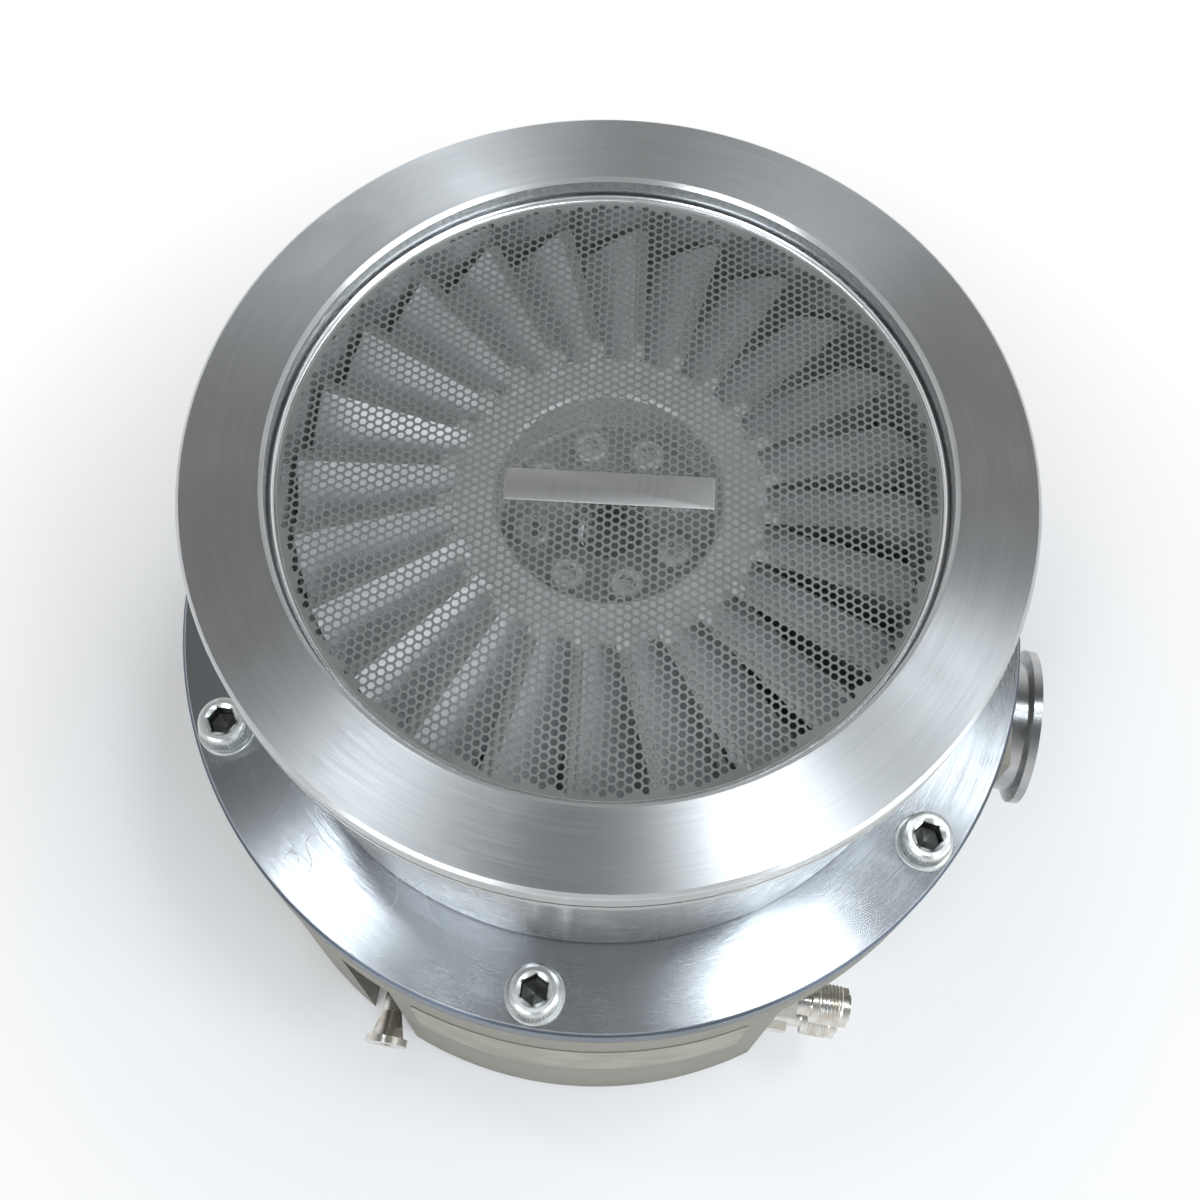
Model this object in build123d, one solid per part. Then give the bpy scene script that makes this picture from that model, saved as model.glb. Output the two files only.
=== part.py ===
from build123d import *

import os
from math import cos, radians, sin, sqrt, tan

# A turbomolecular pump with a magnetically levitated rotor, in millimetres, +Z up.
# Origin: the centre of the base's bottom face, on the rotor's axis. The exhaust port points along +X.

# ---- Driving dimensions ----------------------------------------------------------------------

# Rotor: one bladed stage after another round a bell-shaped hub
BLADE_TIP_R = 91.0
BLADE_ANGLE = 45.0
BLADE_T = 2.5
FIRST_BLADE_DEPTH = 18.0  # inlet face down to the first blades
STAGE_GAP = 1.5
ROTOR_STAGES = [  # blade height, number of blades, hub wall at the stage and the stator below it
    (15.0, 24, 6.0),
    (12.0, 24, 10.0),
    (10.0, 28, 14.0),
    (8.0, 28, 18.0),
    (7.0, 30, 22.0),
]
HUB_RIM_DEPTH = 22.0  # inlet face down to the hub's rim
HUB_RECESS_R = 33.0
HUB_FLOOR_DEPTH = 40.0  # inlet face down to the recess floor
HUB_WEB_T = 10.0
HUB_EYE_R = 12.0
BELL_GAP = 2.0  # bell bore round the bearing column
BELL_WALL = 6.0
BELL_SHOULDER_T = 12.0  # where the bell widens to the skirt
BELL_CONE_L = 24.0
SKIRT_STEP = 13.0  # skirt inside the blade tips
SKIRT_WALL = 5.0
SKIRT_FOOT_GAP = 2.0  # skirt's lower edge above the drag stator's foot
ROTOR_SCREW_COUNT = 8
ROTOR_SCREW_START = 22.5
ROTOR_SCREW_PCD = 46.0
ROTOR_SCREW = {"thread_r": 3.0, "head_r": 5.0, "head_h": 6.0, "length": 17.0, "key": 5.0, "edge": 0.6}

# Stator: split bladed discs clamped between spacer rings
STATOR_STAGES = [(11.0, 26), (9.0, 26), (8.0, 30), (7.0, 30)]  # blade height, number of blades
STATOR_BLADE_T = 1.8
STATOR_RIM_T = 3.0
STATOR_RIM_LAND = 1.8  # how far the rim reaches in past the spacer rings
STATOR_HUB_BAND = 3.5
STATOR_BLADE_ROOT = 1.2  # the blades start this far inside the hub band
STATOR_SPLIT = 0.3
STACK_W = 11.4  # spacer rings, bore to rim
TIP_CLEARANCE = 1.6
HUB_CLEARANCE = 1.5
STACK_FIT = 0.2

# Casing, with a DN 200 ISO-K inlet flange
CASING_H = 114.0  # joint with the base up to the inlet face
CASING_WALL = 8.3  # at the neck's foot
NECK_TAPER = 3.0  # by which the neck's radius shrinks towards the inlet
NECK_SEAM = 1.2  # undercut where the neck meets the casing flange
INLET_R = 120.0
INLET_T = 15.0
INLET_GROOVE_H = 4.5  # the rim groove's height above the rim's lower edge
INLET_GROOVE = 1.0  # its width and depth
INLET_BORE_BEVEL = 1.2
THROAT_LIP_T = 11.5  # lip over the spacer stack, round the first blades
CASING_FLANGE_W = 27.0  # from the neck's foot outwards
CASING_FLANGE_T = 12.0
EDGE_BEVEL = 1.0

# Joint between casing and base
JOINT_BOLT_COUNT = 6
JOINT_BOLT_START = -90.0
JOINT_BOLT_INSET = 10.5  # bolt circle inside the flange's edge
JOINT_SCREW = {"thread_r": 5.0, "head_r": 8.0, "head_h": 10.0, "length": 26.0, "key": 8.0, "edge": 1.0}
JOINT_RING_OFFSET = 9.8  # sealing ring's centre line outside the cavity
JOINT_RING_W = 4.0
RING_DEPTH_SHARE = 0.75  # a sealing groove's depth as a share of its width

# Inlet screen
SCREEN_SEAT_W = 3.65
SCREEN_SEAT_DEPTH = 9.5
SCREEN_ROOM = 0.75
SCREEN_T = 1.2
SCREEN_LIP_H = 3.0
SCREEN_LIP_T = 1.0
SCREEN_HOLE_AF = 13.0
SCREEN_RIB = 3.2
SCREEN_PLAIN_RIM = 6.0

# Drag stage: a ring with helical lands round the rotor's skirt
DRAG_GAP = 0.6
DRAG_LANDS = 8
DRAG_LAND_SHARE = 0.3
DRAG_GROOVE_DEPTH = 6.0
DRAG_WALL = 6.0
DRAG_LAND_ROOT = 1.0  # how far a land reaches into the ring's wall
DRAG_TWIST = 50.0
DRAG_FLANGE_T = 4.5

# Base
BASE_H = 133.0
BASE_FLANGE_T = 20.0
BASE_STEP = 15.5  # body inside the upper flange's edge
BASE_FLOOR_H = 56.0
LEDGE_W = 6.0
LEDGE_BELOW_JOINT = 9.0  # the drag stage's seat
PAD_STEP = 0.5  # pads on the base's side, inside the upper flange's edge
FRONT_PAD_ANGLES = (-110.2, -56.4)
LEFT_PAD_ANGLES = (-138.4, -118.3)
FOOT_HOLE_PCD = 220.0
FOOT_HOLE_COUNT = 4
FOOT_HOLE_START = 45.0
FOOT_HOLE_R = 4.25
FOOT_HOLE_DEPTH = 20.0

# Exhaust port, DN 40 ISO-KF
EXHAUST_BORE_R = 20.5
EXHAUST_TUBE_R = 23.5
EXHAUST_FLANGE_R = 27.5
EXHAUST_BELOW_JOINT = 48.0  # axis below the joint with the casing
EXHAUST_L = 15.0
EXHAUST_RIM_T = 3.0
EXHAUST_TAPER = 15.0
EXHAUST_BOSS_RISE = 1.0  # the boss's flat face beyond the upper flange
EXHAUST_BOSS_W = 62.0
EXHAUST_SPIGOT_R = 24.0
EXHAUST_SPIGOT_L = 20.0
EXHAUST_COLLAR_T = 3.5
EXHAUST_PASSAGE_R = 19.5
EXHAUST_RING_OFFSET = 1.6  # sealing ring's centre line outside the spigot
EXHAUST_RING_W = 2.4

# Shaft and what rides on it
SHAFT_R = 16.0
SHAFT_FLANGE_R = 29.0
SHAFT_FLANGE_T = 8.0
SHAFT_SPIGOT_H = 3.0
SHAFT_SEAT_STEP = 4.0  # seat of the axial bearing's disc, inside the shaft's own radius
SHAFT_THREAD_STEP = 2.0
SHAFT_END_ROOM = 4.6  # shaft's lower end above the column's foot
SLEEVE_T = 3.0
MAGNET_T = 4.0
MAGNET_OVERHANG = 2.0
PRESS_GAP = 0.02
AXIAL_DISC_T = 6.0
AXIAL_GAP = 0.5
NUT_H = 8.0
NUT_EDGE = 2.0  # by which the nut's flats overlap the disc's seat

# Radial magnetic bearings, their sensors and the motor
CORE_R = 31.0
CORE_FIT = 0.05
CORE_YOKE = 4.0
AIR_GAP = 0.4
POLE_SHARE = 0.45
POLE_COUNT = 8
POLE_FACE_ROOM = 1.0  # stock that the bore takes off the pole faces
BEARING_CORE_L = 20.0
MOTOR_ROOM = 10.75  # motor core to the bearing cores above and below it
MOTOR_POLES = 6
COIL_T = 2.0
COIL_FIT = 0.25
SENSOR_L = 5.0
SENSOR_GAP = 0.5
SENSOR_ROOM = 4.0  # sensor to core, which leaves the coil ends room
AXIAL_MAGNET_L = 11.5
AXIAL_MAGNET_GAP = 1.0
AXIAL_DISC_EDGE_ROOM = 3.0
AXIAL_COIL_W = 6.0
AXIAL_COIL_DEPTH = 7.0
AXIAL_SENSOR_R = 8.0

# Bearing column that stands inside the rotor's bell
COLUMN_WALL = 7.0
COLUMN_SPIGOT_WALL = 3.0
COLUMN_FOOT_ROOM = 4.0  # column's foot above the bottom cover
COLUMN_FLANGE_W = 14.0
COLUMN_FLANGE_T = 8.0
COLUMN_SCREW_COUNT = 6
COLUMN_SCREW = {"thread_r": 2.5, "head_r": 4.25, "head_h": 5.0, "length": 20.0, "key": 4.0}
COLUMN_WEB_T = 12.0  # wall across the bore that holds the lower touchdown bearing
COLUMN_WEB_DROP = 2.0  # its lower face under the base's floor
CARRIER_T = 4.5
CARRIER_SPIGOT = 5.0
CARRIER_GAP = 1.5  # to the shaft's flange
CARRIER_SCREW = {"thread_r": 1.5, "head_r": 2.75, "head_h": 3.0, "length": 8.0, "key": 2.5}
CARRIER_SCREW_COUNT = 4

# Touchdown bearings, which carry the rotor only when the magnets are off
RACE_W = 8.0
RACE_T = 3.2
RACE_SECTION = 10.0  # shaft surface to the outer race's rim
RACE_SEAT_DEPTH = 1.0
RACE_LIP = 1.6  # width of the shoulder that an outer race rests on
TOUCHDOWN_GAP = 0.3
CAGE_INSET_SHARE = 0.25  # the ball ring's inset from the races' ends, as a share of their width
BALL_GAP = 0.1

# Bottom cover
COVER_R = 60.0
COVER_T = 10.0
COVER_SCREW_COUNT = 6
COVER_SCREW_INSET = 8.0
COVER_SCREW_SINK = 0.2
COVER_SCREW = {"thread_r": 2.5, "head_r": 4.25, "head_h": 5.0, "length": 14.0, "key": 4.0}
COVER_RING_OFFSET = 8.0  # sealing ring's centre line outside the column's spigot
COVER_RING_W = 3.0

# Purge port between the pads, and cooling water fittings on the front pad's side
PURGE_ANGLE = -116.4
PURGE_BELOW_JOINT = 101.0
PURGE_L = 28.5
PURGE_HEX_AF = 12.0
PURGE_HEX_L = 7.0
PURGE_STEM_R = 3.5
PURGE_CONE_L = 9.0
PURGE_CONE_R = 6.0
PURGE_DISC_R = 7.5
PURGE_DISC_T = 2.5
PURGE_BORE_R = 2.0
WATER_BELOW_JOINT = {"water_inlet_fitting": 56.0, "water_outlet_fitting": 84.0}
WATER_L = 26.0
WATER_HEX_AF = 14.0
WATER_HEX_L = 8.0
WATER_STEM_R = 4.5
WATER_NUT_R = 6.5
WATER_NUT_L = 13.0
WATER_BORE_R = 3.0
FITTING_THREAD_L = 10.0
FITTING_THREAD_R = 5.0

# Electrical socket at the rear
SOCKET_Z = 48.0
SOCKET_BOSS_RISE = 2.0
SOCKET_PLATE = 54.0
SOCKET_PLATE_T = 5.0
SOCKET_R = 21.0
SOCKET_WALL = 2.5
SOCKET_L = 21.0
SOCKET_FACE_DEPTH = 11.0
SOCKET_PIN_R = 1.2
SOCKET_PIN_L = 7.0
SOCKET_PIN_RING_R = 12.0
SOCKET_PINS = 8
SOCKET_SCREW_INSET = 5.5
SOCKET_SCREW = {"thread_r": 2.0, "head_r": 3.5, "head_h": 4.0, "length": 12.0, "key": 3.0}

THREAD_FIT = 0.05  # radial room of a screw in its tapped hole
THREAD_ROOM = 1.0  # a tapped hole's depth past the screw's end
HOLE_ROOM = 0.5  # radial room of a screw in a plain hole
SEAL_FIT = 0.1

# ---- Sizes that follow -----------------------------------------------------------------------

PUMP_H = BASE_H + CASING_H

# Radii, from the blade tips outwards
SPACER_BORE_R = BLADE_TIP_R + TIP_CLEARANCE
STACK_R = SPACER_BORE_R + STACK_W
CAVITY_R = STACK_R + STACK_FIT
THROAT_R = SPACER_BORE_R
INLET_BORE_R = THROAT_R + SCREEN_SEAT_W
SCREEN_R = INLET_BORE_R - SCREEN_ROOM
SKIRT_R = BLADE_TIP_R - SKIRT_STEP
NECK_FOOT_R = CAVITY_R + CASING_WALL
NECK_TOP_R = NECK_FOOT_R - NECK_TAPER
JOINT_R = NECK_FOOT_R + CASING_FLANGE_W
JOINT_PCD = 2 * (JOINT_R - JOINT_BOLT_INSET)
JOINT_RING_R = CAVITY_R + JOINT_RING_OFFSET
BASE_R = JOINT_R - BASE_STEP
PLENUM_R = STACK_R - LEDGE_W
PAD_R = JOINT_R - PAD_STEP
FRONT_PAD_RIGHT = PAD_R * cos(radians(FRONT_PAD_ANGLES[1]))
EXHAUST_BOSS_X = JOINT_R + EXHAUST_BOSS_RISE
EXHAUST_RING_R = EXHAUST_SPIGOT_R + EXHAUST_RING_OFFSET
SOCKET_BOSS_Y = BASE_R + SOCKET_BOSS_RISE
SOCKET_SCREW_PITCH = SOCKET_PLATE - 2 * SOCKET_SCREW_INSET

# Radii, from the shaft outwards
SHAFT_SEAT_R = SHAFT_R - SHAFT_SEAT_STEP
SHAFT_THREAD_R = SHAFT_SEAT_R - SHAFT_THREAD_STEP
SLEEVE_R = SHAFT_R + SLEEVE_T
MAGNET_R = SHAFT_R + MAGNET_T
RACE_OUTER_R = SHAFT_R + RACE_SECTION
AXIAL_MAGNET_BORE_R = SHAFT_R + AXIAL_MAGNET_GAP
AXIAL_DISC_R = CORE_R - AXIAL_DISC_EDGE_ROOM
AXIAL_COIL_R = (AXIAL_MAGNET_BORE_R + CORE_R - AXIAL_COIL_W) / 2  # inner radius of the winding slot
COLUMN_R = CORE_R + COLUMN_WALL
COLUMN_SPIGOT_R = CORE_R + COLUMN_SPIGOT_WALL
COLUMN_FLANGE_R = COLUMN_R + COLUMN_FLANGE_W
COLUMN_SCREW_PCD = COLUMN_R + COLUMN_FLANGE_R
CARRIER_SCREW_PCD = CORE_R + COLUMN_R - 2 * HOLE_ROOM
COVER_RING_R = COLUMN_SPIGOT_R + COVER_RING_OFFSET
COVER_SCREW_PCD = 2 * (COVER_R - COVER_SCREW_INSET)
BELL_BORE_R = COLUMN_R + BELL_GAP
HUB_RADII = [BELL_BORE_R + wall for _, _, wall in ROTOR_STAGES]

# Heights, from the inlet face down and from the base's floor up
FIRST_BLADE_TOP = PUMP_H - FIRST_BLADE_DEPTH
THROAT_LIP_H = PUMP_H - SCREEN_SEAT_DEPTH - THROAT_LIP_T
HUB_FLOOR_H = PUMP_H - HUB_FLOOR_DEPTH
HUB_WEB_H = HUB_FLOOR_H - HUB_WEB_T
LEDGE_H = BASE_H - LEDGE_BELOW_JOINT
DRAG_TOP_H = LEDGE_H + DRAG_FLANGE_T
DRAG_FOOT_H = BASE_FLOOR_H + COLUMN_FLANGE_T
SKIRT_FOOT_H = DRAG_FOOT_H + SKIRT_FOOT_GAP
EXHAUST_Z = BASE_H - EXHAUST_BELOW_JOINT
CARRIER_TOP_H = HUB_WEB_H - SHAFT_FLANGE_T - CARRIER_GAP
COLUMN_TOP_H = CARRIER_TOP_H - CARRIER_T
COLUMN_WEB_H = BASE_FLOOR_H - COLUMN_WEB_DROP
COLUMN_WEB_TOP_H = COLUMN_WEB_H + COLUMN_WEB_T
COLUMN_FOOT_H = COVER_T + COLUMN_FOOT_ROOM
COVER_SEAT_H = COVER_SCREW["head_h"] + COVER_SCREW_SINK
UPPER_RACE_H = CARRIER_TOP_H - RACE_W - AXIAL_GAP
LOWER_RACE_H = COLUMN_WEB_TOP_H - RACE_W - RACE_SEAT_DEPTH
UPPER_SENSOR_H = COLUMN_TOP_H - CARRIER_SPIGOT - SENSOR_L
UPPER_CORE_H = UPPER_SENSOR_H - SENSOR_ROOM - BEARING_CORE_L
LOWER_SENSOR_H = COLUMN_WEB_TOP_H + AXIAL_GAP
LOWER_CORE_H = LOWER_SENSOR_H + SENSOR_L + SENSOR_ROOM
MOTOR_CORE_H = LOWER_CORE_H + BEARING_CORE_L + MOTOR_ROOM
MOTOR_CORE_L = UPPER_CORE_H - MOTOR_ROOM - MOTOR_CORE_H
UPPER_AXIAL_H = COLUMN_WEB_H - AXIAL_GAP - AXIAL_MAGNET_L
AXIAL_DISC_H = UPPER_AXIAL_H - AXIAL_GAP - AXIAL_DISC_T
LOWER_AXIAL_TOP = AXIAL_DISC_H - AXIAL_GAP
SHAFT_END_H = COLUMN_FOOT_H + SHAFT_END_ROOM


def stage_heights():
    """The lower face of each rotor stage and each stator disc, counted down from the first blades."""
    rotor_z, stator_z = [], []
    top = FIRST_BLADE_TOP
    for stage, (height, _, _) in enumerate(ROTOR_STAGES):
        rotor_z.append(top - height)
        top -= height + STAGE_GAP
        if stage < len(STATOR_STAGES):
            stator_z.append(top - STATOR_STAGES[stage][0])
            top -= STATOR_STAGES[stage][0] + STAGE_GAP
    return rotor_z, stator_z


ROTOR_Z, STATOR_Z = stage_heights()

# ---- Shapes used by several pieces -----------------------------------------------------------

UPRIGHT = (Align.CENTER, Align.CENTER, Align.MIN)


def disc(radius, low, high):
    return Pos(0, 0, low) * Cylinder(radius, high - low, align=UPRIGHT)


def polar(radius, angle):
    return radius * cos(radians(angle)), radius * sin(radians(angle)), 0


def ring(outer_r, inner_r, low, high):
    return disc(outer_r, low, high) - disc(inner_r, low, high)


def turned(*outline):
    """The solid turned about Z from an outline of (radius, height) points."""
    section = Face(Wire.make_polygon([Vector(r, 0, z) for r, z in outline]))
    return revolve(section, Axis.Z)


def block(low, high):
    """A box between two corners."""
    size = [b - a for a, b in zip(low, high)]
    return Pos(*low) * Box(*size, align=(Align.MIN, Align.MIN, Align.MIN))


def around(count, pitch_diameter, start, z=0.0):
    """Places evenly spaced on a pitch circle, the first at the angle start."""
    turns = [start + 360.0 / count * i for i in range(count)]
    return [Rot(0, 0, turn) * Pos(pitch_diameter / 2, 0, z) for turn in turns]


def square_places(pitch):
    return [Pos(x * pitch / 2, y * pitch / 2, 0) for x in (-1, 1) for y in (-1, 1)]


def hexagon(across_flats, low, high):
    return Pos(0, 0, low) * extrude(RegularPolygon(across_flats / 2, 6, major_radius=False), high - low)


def cap_screw(thread_r, head_r, head_h, length, key, edge=0.0):
    """A socket head cap screw that seats at the origin, head upwards. The length is under the head."""
    outline = [(0, -length), (thread_r, -length), (thread_r, 0), (head_r, 0), (head_r, head_h - edge)]
    if edge:
        outline.append((head_r - edge, head_h))
    return turned(*outline, (0, head_h)) - hexagon(key, head_h / 2, head_h)


def screw_set(places, screw):
    return [place * cap_screw(**screw) for place in places]


def blades(count, z, height, thickness, inner_r, tip_r, lean, first=0.0, last=360.0):
    """Flat blades: each is a leaning parallelogram drawn out along its own radius.

    With a lean of 1 the upper edge is ahead of the lower one, clockwise from above; with -1 it is behind.
    """
    half_run = height / tan(radians(BLADE_ANGLE)) / 2
    half_edge = thickness / sin(radians(BLADE_ANGLE)) / 2
    reach = half_run + half_edge
    start = sqrt(inner_r**2 - reach**2)
    end = sqrt(tip_r**2 - reach**2)
    low, high = lean * half_run, -lean * half_run
    section = [
        (low - half_edge, z), (low + half_edge, z),
        (high + half_edge, z + height), (high - half_edge, z + height),
    ]
    blade = Solid.extrude(Face(Wire.make_polygon([Vector(start, y, h) for y, h in section])),
                          Vector(end - start, 0, 0))
    pitch = 360.0 / count
    turns = [pitch * (i + 0.5) for i in range(count)]
    return [blade.rotate(Axis.Z, turn) for turn in turns if first < turn < last]


parts = {}

# ---- Casing ----------------------------------------------------------------------------------


def make_casing():
    inlet_low = PUMP_H - INLET_T
    groove = inlet_low + INLET_GROOVE_H
    flange_top = BASE_H + CASING_FLANGE_T
    casing = turned(
        (CAVITY_R, BASE_H),
        (JOINT_R - EDGE_BEVEL, BASE_H), (JOINT_R, BASE_H + EDGE_BEVEL),
        (JOINT_R, flange_top - EDGE_BEVEL), (JOINT_R - EDGE_BEVEL, flange_top),
        (NECK_FOOT_R - NECK_SEAM, flange_top), (NECK_FOOT_R - NECK_SEAM, flange_top + NECK_SEAM),
        (NECK_FOOT_R, flange_top + NECK_SEAM),
        (NECK_TOP_R, inlet_low),
        (INLET_R - EDGE_BEVEL, inlet_low), (INLET_R, inlet_low + EDGE_BEVEL),
        (INLET_R, groove), (INLET_R - INLET_GROOVE, groove),
        (INLET_R - INLET_GROOVE, groove + INLET_GROOVE), (INLET_R, groove + INLET_GROOVE),
        (INLET_R, PUMP_H - EDGE_BEVEL), (INLET_R - EDGE_BEVEL, PUMP_H),
        (INLET_BORE_R + INLET_BORE_BEVEL, PUMP_H), (INLET_BORE_R, PUMP_H - INLET_BORE_BEVEL),
        (INLET_BORE_R, PUMP_H - SCREEN_SEAT_DEPTH), (THROAT_R, PUMP_H - SCREEN_SEAT_DEPTH),
        (THROAT_R, THROAT_LIP_H), (CAVITY_R, THROAT_LIP_H),
    )
    for place in around(JOINT_BOLT_COUNT, JOINT_PCD, JOINT_BOLT_START, BASE_H):
        casing -= place * disc(JOINT_SCREW["thread_r"] + HOLE_ROOM, 0, CASING_FLANGE_T)
    return casing


def make_screen():
    """A flat screen with an upturned lip and hexagonal openings in a close-packed pattern."""
    low = PUMP_H - SCREEN_SEAT_DEPTH
    screen = turned(
        (0, low), (SCREEN_R, low), (SCREEN_R, low + SCREEN_LIP_H),
        (SCREEN_R - SCREEN_LIP_T, low + SCREEN_LIP_H), (SCREEN_R - SCREEN_LIP_T, low + SCREEN_T),
        (0, low + SCREEN_T),
    )
    pitch = SCREEN_HOLE_AF + SCREEN_RIB
    corner = SCREEN_HOLE_AF / sqrt(3)
    limit = SCREEN_R - SCREEN_PLAIN_RIM - corner
    rows = int(SCREEN_R / pitch) + 1
    centres = [(pitch * (i + j / 2), pitch * j * sqrt(3) / 2)
               for i in range(-2 * rows, 2 * rows + 1) for j in range(-rows - 2, rows + 3)]
    opening = Rot(0, 0, 30) * hexagon(SCREEN_HOLE_AF, low, low + SCREEN_T)
    openings = [Pos(x, y, 0) * opening for x, y in centres if sqrt(x**2 + y**2) < limit]
    return screen - openings


parts["casing"] = make_casing()
parts["inlet_screen"] = make_screen()
JOINT_SEATS = around(JOINT_BOLT_COUNT, JOINT_PCD, JOINT_BOLT_START, BASE_H + CASING_FLANGE_T)
parts["casing_screws"] = screw_set(JOINT_SEATS, JOINT_SCREW)
parts["casing_sealing_ring"] = ring(
    JOINT_RING_R + JOINT_RING_W / 2 - SEAL_FIT, JOINT_RING_R - JOINT_RING_W / 2 + SEAL_FIT,
    BASE_H - JOINT_RING_W * RING_DEPTH_SHARE, BASE_H,
)

# ---- Rotor -----------------------------------------------------------------------------------


def make_rotor():
    hub_top = PUMP_H - HUB_RIM_DEPTH
    hub = [(HUB_EYE_R, HUB_WEB_H), (HUB_EYE_R, HUB_FLOOR_H), (HUB_RECESS_R, HUB_FLOOR_H),
           (HUB_RECESS_R, hub_top - EDGE_BEVEL), (HUB_RECESS_R + EDGE_BEVEL, hub_top)]
    hub.append((HUB_RADII[0], hub_top))
    for stage in range(1, len(ROTOR_STAGES)):
        step = ROTOR_Z[stage] + ROTOR_STAGES[stage][0]
        hub += [(HUB_RADII[stage - 1], step), (HUB_RADII[stage], step)]
    last_r = HUB_RADII[-1]
    shoulder = ROTOR_Z[-1]
    skirt_bore = SKIRT_R - SKIRT_WALL
    hub += [(last_r, shoulder), (SKIRT_R, shoulder), (SKIRT_R, SKIRT_FOOT_H), (skirt_bore, SKIRT_FOOT_H),
            (skirt_bore, shoulder - BELL_SHOULDER_T), (last_r - BELL_WALL, shoulder - BELL_WALL),
            (BELL_BORE_R, shoulder + BELL_CONE_L), (BELL_BORE_R, HUB_WEB_H)]
    rotor = turned(*hub)
    for low, hub_r, (height, count, _) in zip(ROTOR_Z, HUB_RADII, ROTOR_STAGES):
        stage_blades = blades(count, low, height, BLADE_T, hub_r - EDGE_BEVEL, BLADE_TIP_R, 1)
        rotor = rotor.fuse(*stage_blades)
    for place in around(ROTOR_SCREW_COUNT, ROTOR_SCREW_PCD, ROTOR_SCREW_START, HUB_WEB_H):
        rotor -= place * disc(ROTOR_SCREW["thread_r"] + HOLE_ROOM, 0, HUB_WEB_T)
    return rotor


parts["rotor"] = make_rotor()
ROTOR_SEATS = around(ROTOR_SCREW_COUNT, ROTOR_SCREW_PCD, ROTOR_SCREW_START, HUB_FLOOR_H)
parts["rotor_screws"] = screw_set(ROTOR_SEATS, ROTOR_SCREW)

# ---- Shaft -----------------------------------------------------------------------------------

FLANGE_LOW = HUB_WEB_H - SHAFT_FLANGE_T


def make_shaft():
    spigot_r = HUB_EYE_R - THREAD_FIT
    spigot_top = HUB_WEB_H + SHAFT_SPIGOT_H
    disc_top = AXIAL_DISC_H + AXIAL_DISC_T
    shaft = turned(
        (0, SHAFT_END_H), (SHAFT_THREAD_R, SHAFT_END_H), (SHAFT_THREAD_R, AXIAL_DISC_H),
        (SHAFT_SEAT_R, AXIAL_DISC_H), (SHAFT_SEAT_R, disc_top), (SHAFT_R, disc_top), (SHAFT_R, FLANGE_LOW),
        (SHAFT_FLANGE_R, FLANGE_LOW), (SHAFT_FLANGE_R, HUB_WEB_H), (spigot_r, HUB_WEB_H),
        (spigot_r, spigot_top), (spigot_r - BELL_WALL / 2, spigot_top),
        (spigot_r - BELL_WALL / 2, FLANGE_LOW), (0, FLANGE_LOW),
    )
    for place in around(ROTOR_SCREW_COUNT, ROTOR_SCREW_PCD, ROTOR_SCREW_START, FLANGE_LOW):
        shaft -= place * disc(ROTOR_SCREW["thread_r"] + THREAD_FIT, 0, SHAFT_FLANGE_T)
    return shaft


def sleeve(outer_r, low, high):
    return ring(outer_r, SHAFT_R + PRESS_GAP, low, high)


parts["shaft"] = make_shaft()
for name, core_low in (("upper", UPPER_CORE_H), ("lower", LOWER_CORE_H)):
    parts[name + "_bearing_sleeve"] = sleeve(SLEEVE_R, core_low, core_low + BEARING_CORE_L)
parts["motor_magnet"] = sleeve(MAGNET_R, MOTOR_CORE_H - MAGNET_OVERHANG,
                               MOTOR_CORE_H + MOTOR_CORE_L + MAGNET_OVERHANG)
parts["axial_bearing_disc"] = ring(AXIAL_DISC_R, SHAFT_SEAT_R + PRESS_GAP, AXIAL_DISC_H,
                                   AXIAL_DISC_H + AXIAL_DISC_T)
parts["shaft_nut"] = (hexagon(2 * SHAFT_SEAT_R + NUT_EDGE, AXIAL_DISC_H - NUT_H, AXIAL_DISC_H)
                      - disc(SHAFT_THREAD_R + THREAD_FIT, AXIAL_DISC_H - NUT_H, AXIAL_DISC_H))

# ---- Stator discs and spacer rings -----------------------------------------------------------


def stator_half(stage, side):
    """Half a stator disc: two half rings with the blades of its own half between them."""
    height, count = STATOR_STAGES[stage]
    hub_r = HUB_RADII[stage] + HUB_CLEARANCE
    low = STATOR_Z[stage]
    rim_low = low + (height - STATOR_RIM_T) / 2
    rim_high = rim_low + STATOR_RIM_T
    rings = (ring(STACK_R, SPACER_BORE_R - STATOR_RIM_LAND, rim_low, rim_high)
             + ring(hub_r + STATOR_HUB_BAND, hub_r, rim_low, rim_high))
    cut = STATOR_SPLIT / 2
    keep = block((-STACK_R, cut, rim_low), (STACK_R, STACK_R, rim_high))
    if side < 0:
        keep = block((-STACK_R, -STACK_R, rim_low), (STACK_R, -cut, rim_high))
    half = rings & keep
    first = 0.0 if side > 0 else 180.0
    own = blades(count, low, height, STATOR_BLADE_T, hub_r + STATOR_BLADE_ROOT,
                 SPACER_BORE_R - STACK_FIT, -1, first, first + 180.0)
    return own[0].fuse(*own[1:], *half.solids())


def stator_rim(stage):
    """The lower and upper face of a stator disc's rim."""
    middle = STATOR_Z[stage] + STATOR_STAGES[stage][0] / 2
    return middle - STATOR_RIM_T / 2, middle + STATOR_RIM_T / 2


for stage in range(len(STATOR_STAGES)):
    parts[f"stator_disc_{stage + 1}_rear_half"] = stator_half(stage, 1)
    parts[f"stator_disc_{stage + 1}_front_half"] = stator_half(stage, -1)

spacer_top = THROAT_LIP_H
for stage in range(len(STATOR_STAGES) + 1):
    spacer_low = stator_rim(stage)[1] if stage < len(STATOR_STAGES) else DRAG_TOP_H
    parts[f"spacer_ring_{stage + 1}"] = ring(STACK_R, SPACER_BORE_R, spacer_low, spacer_top)
    if stage < len(STATOR_STAGES):
        spacer_top = stator_rim(stage)[0]

# ---- Drag stage ------------------------------------------------------------------------------


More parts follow.
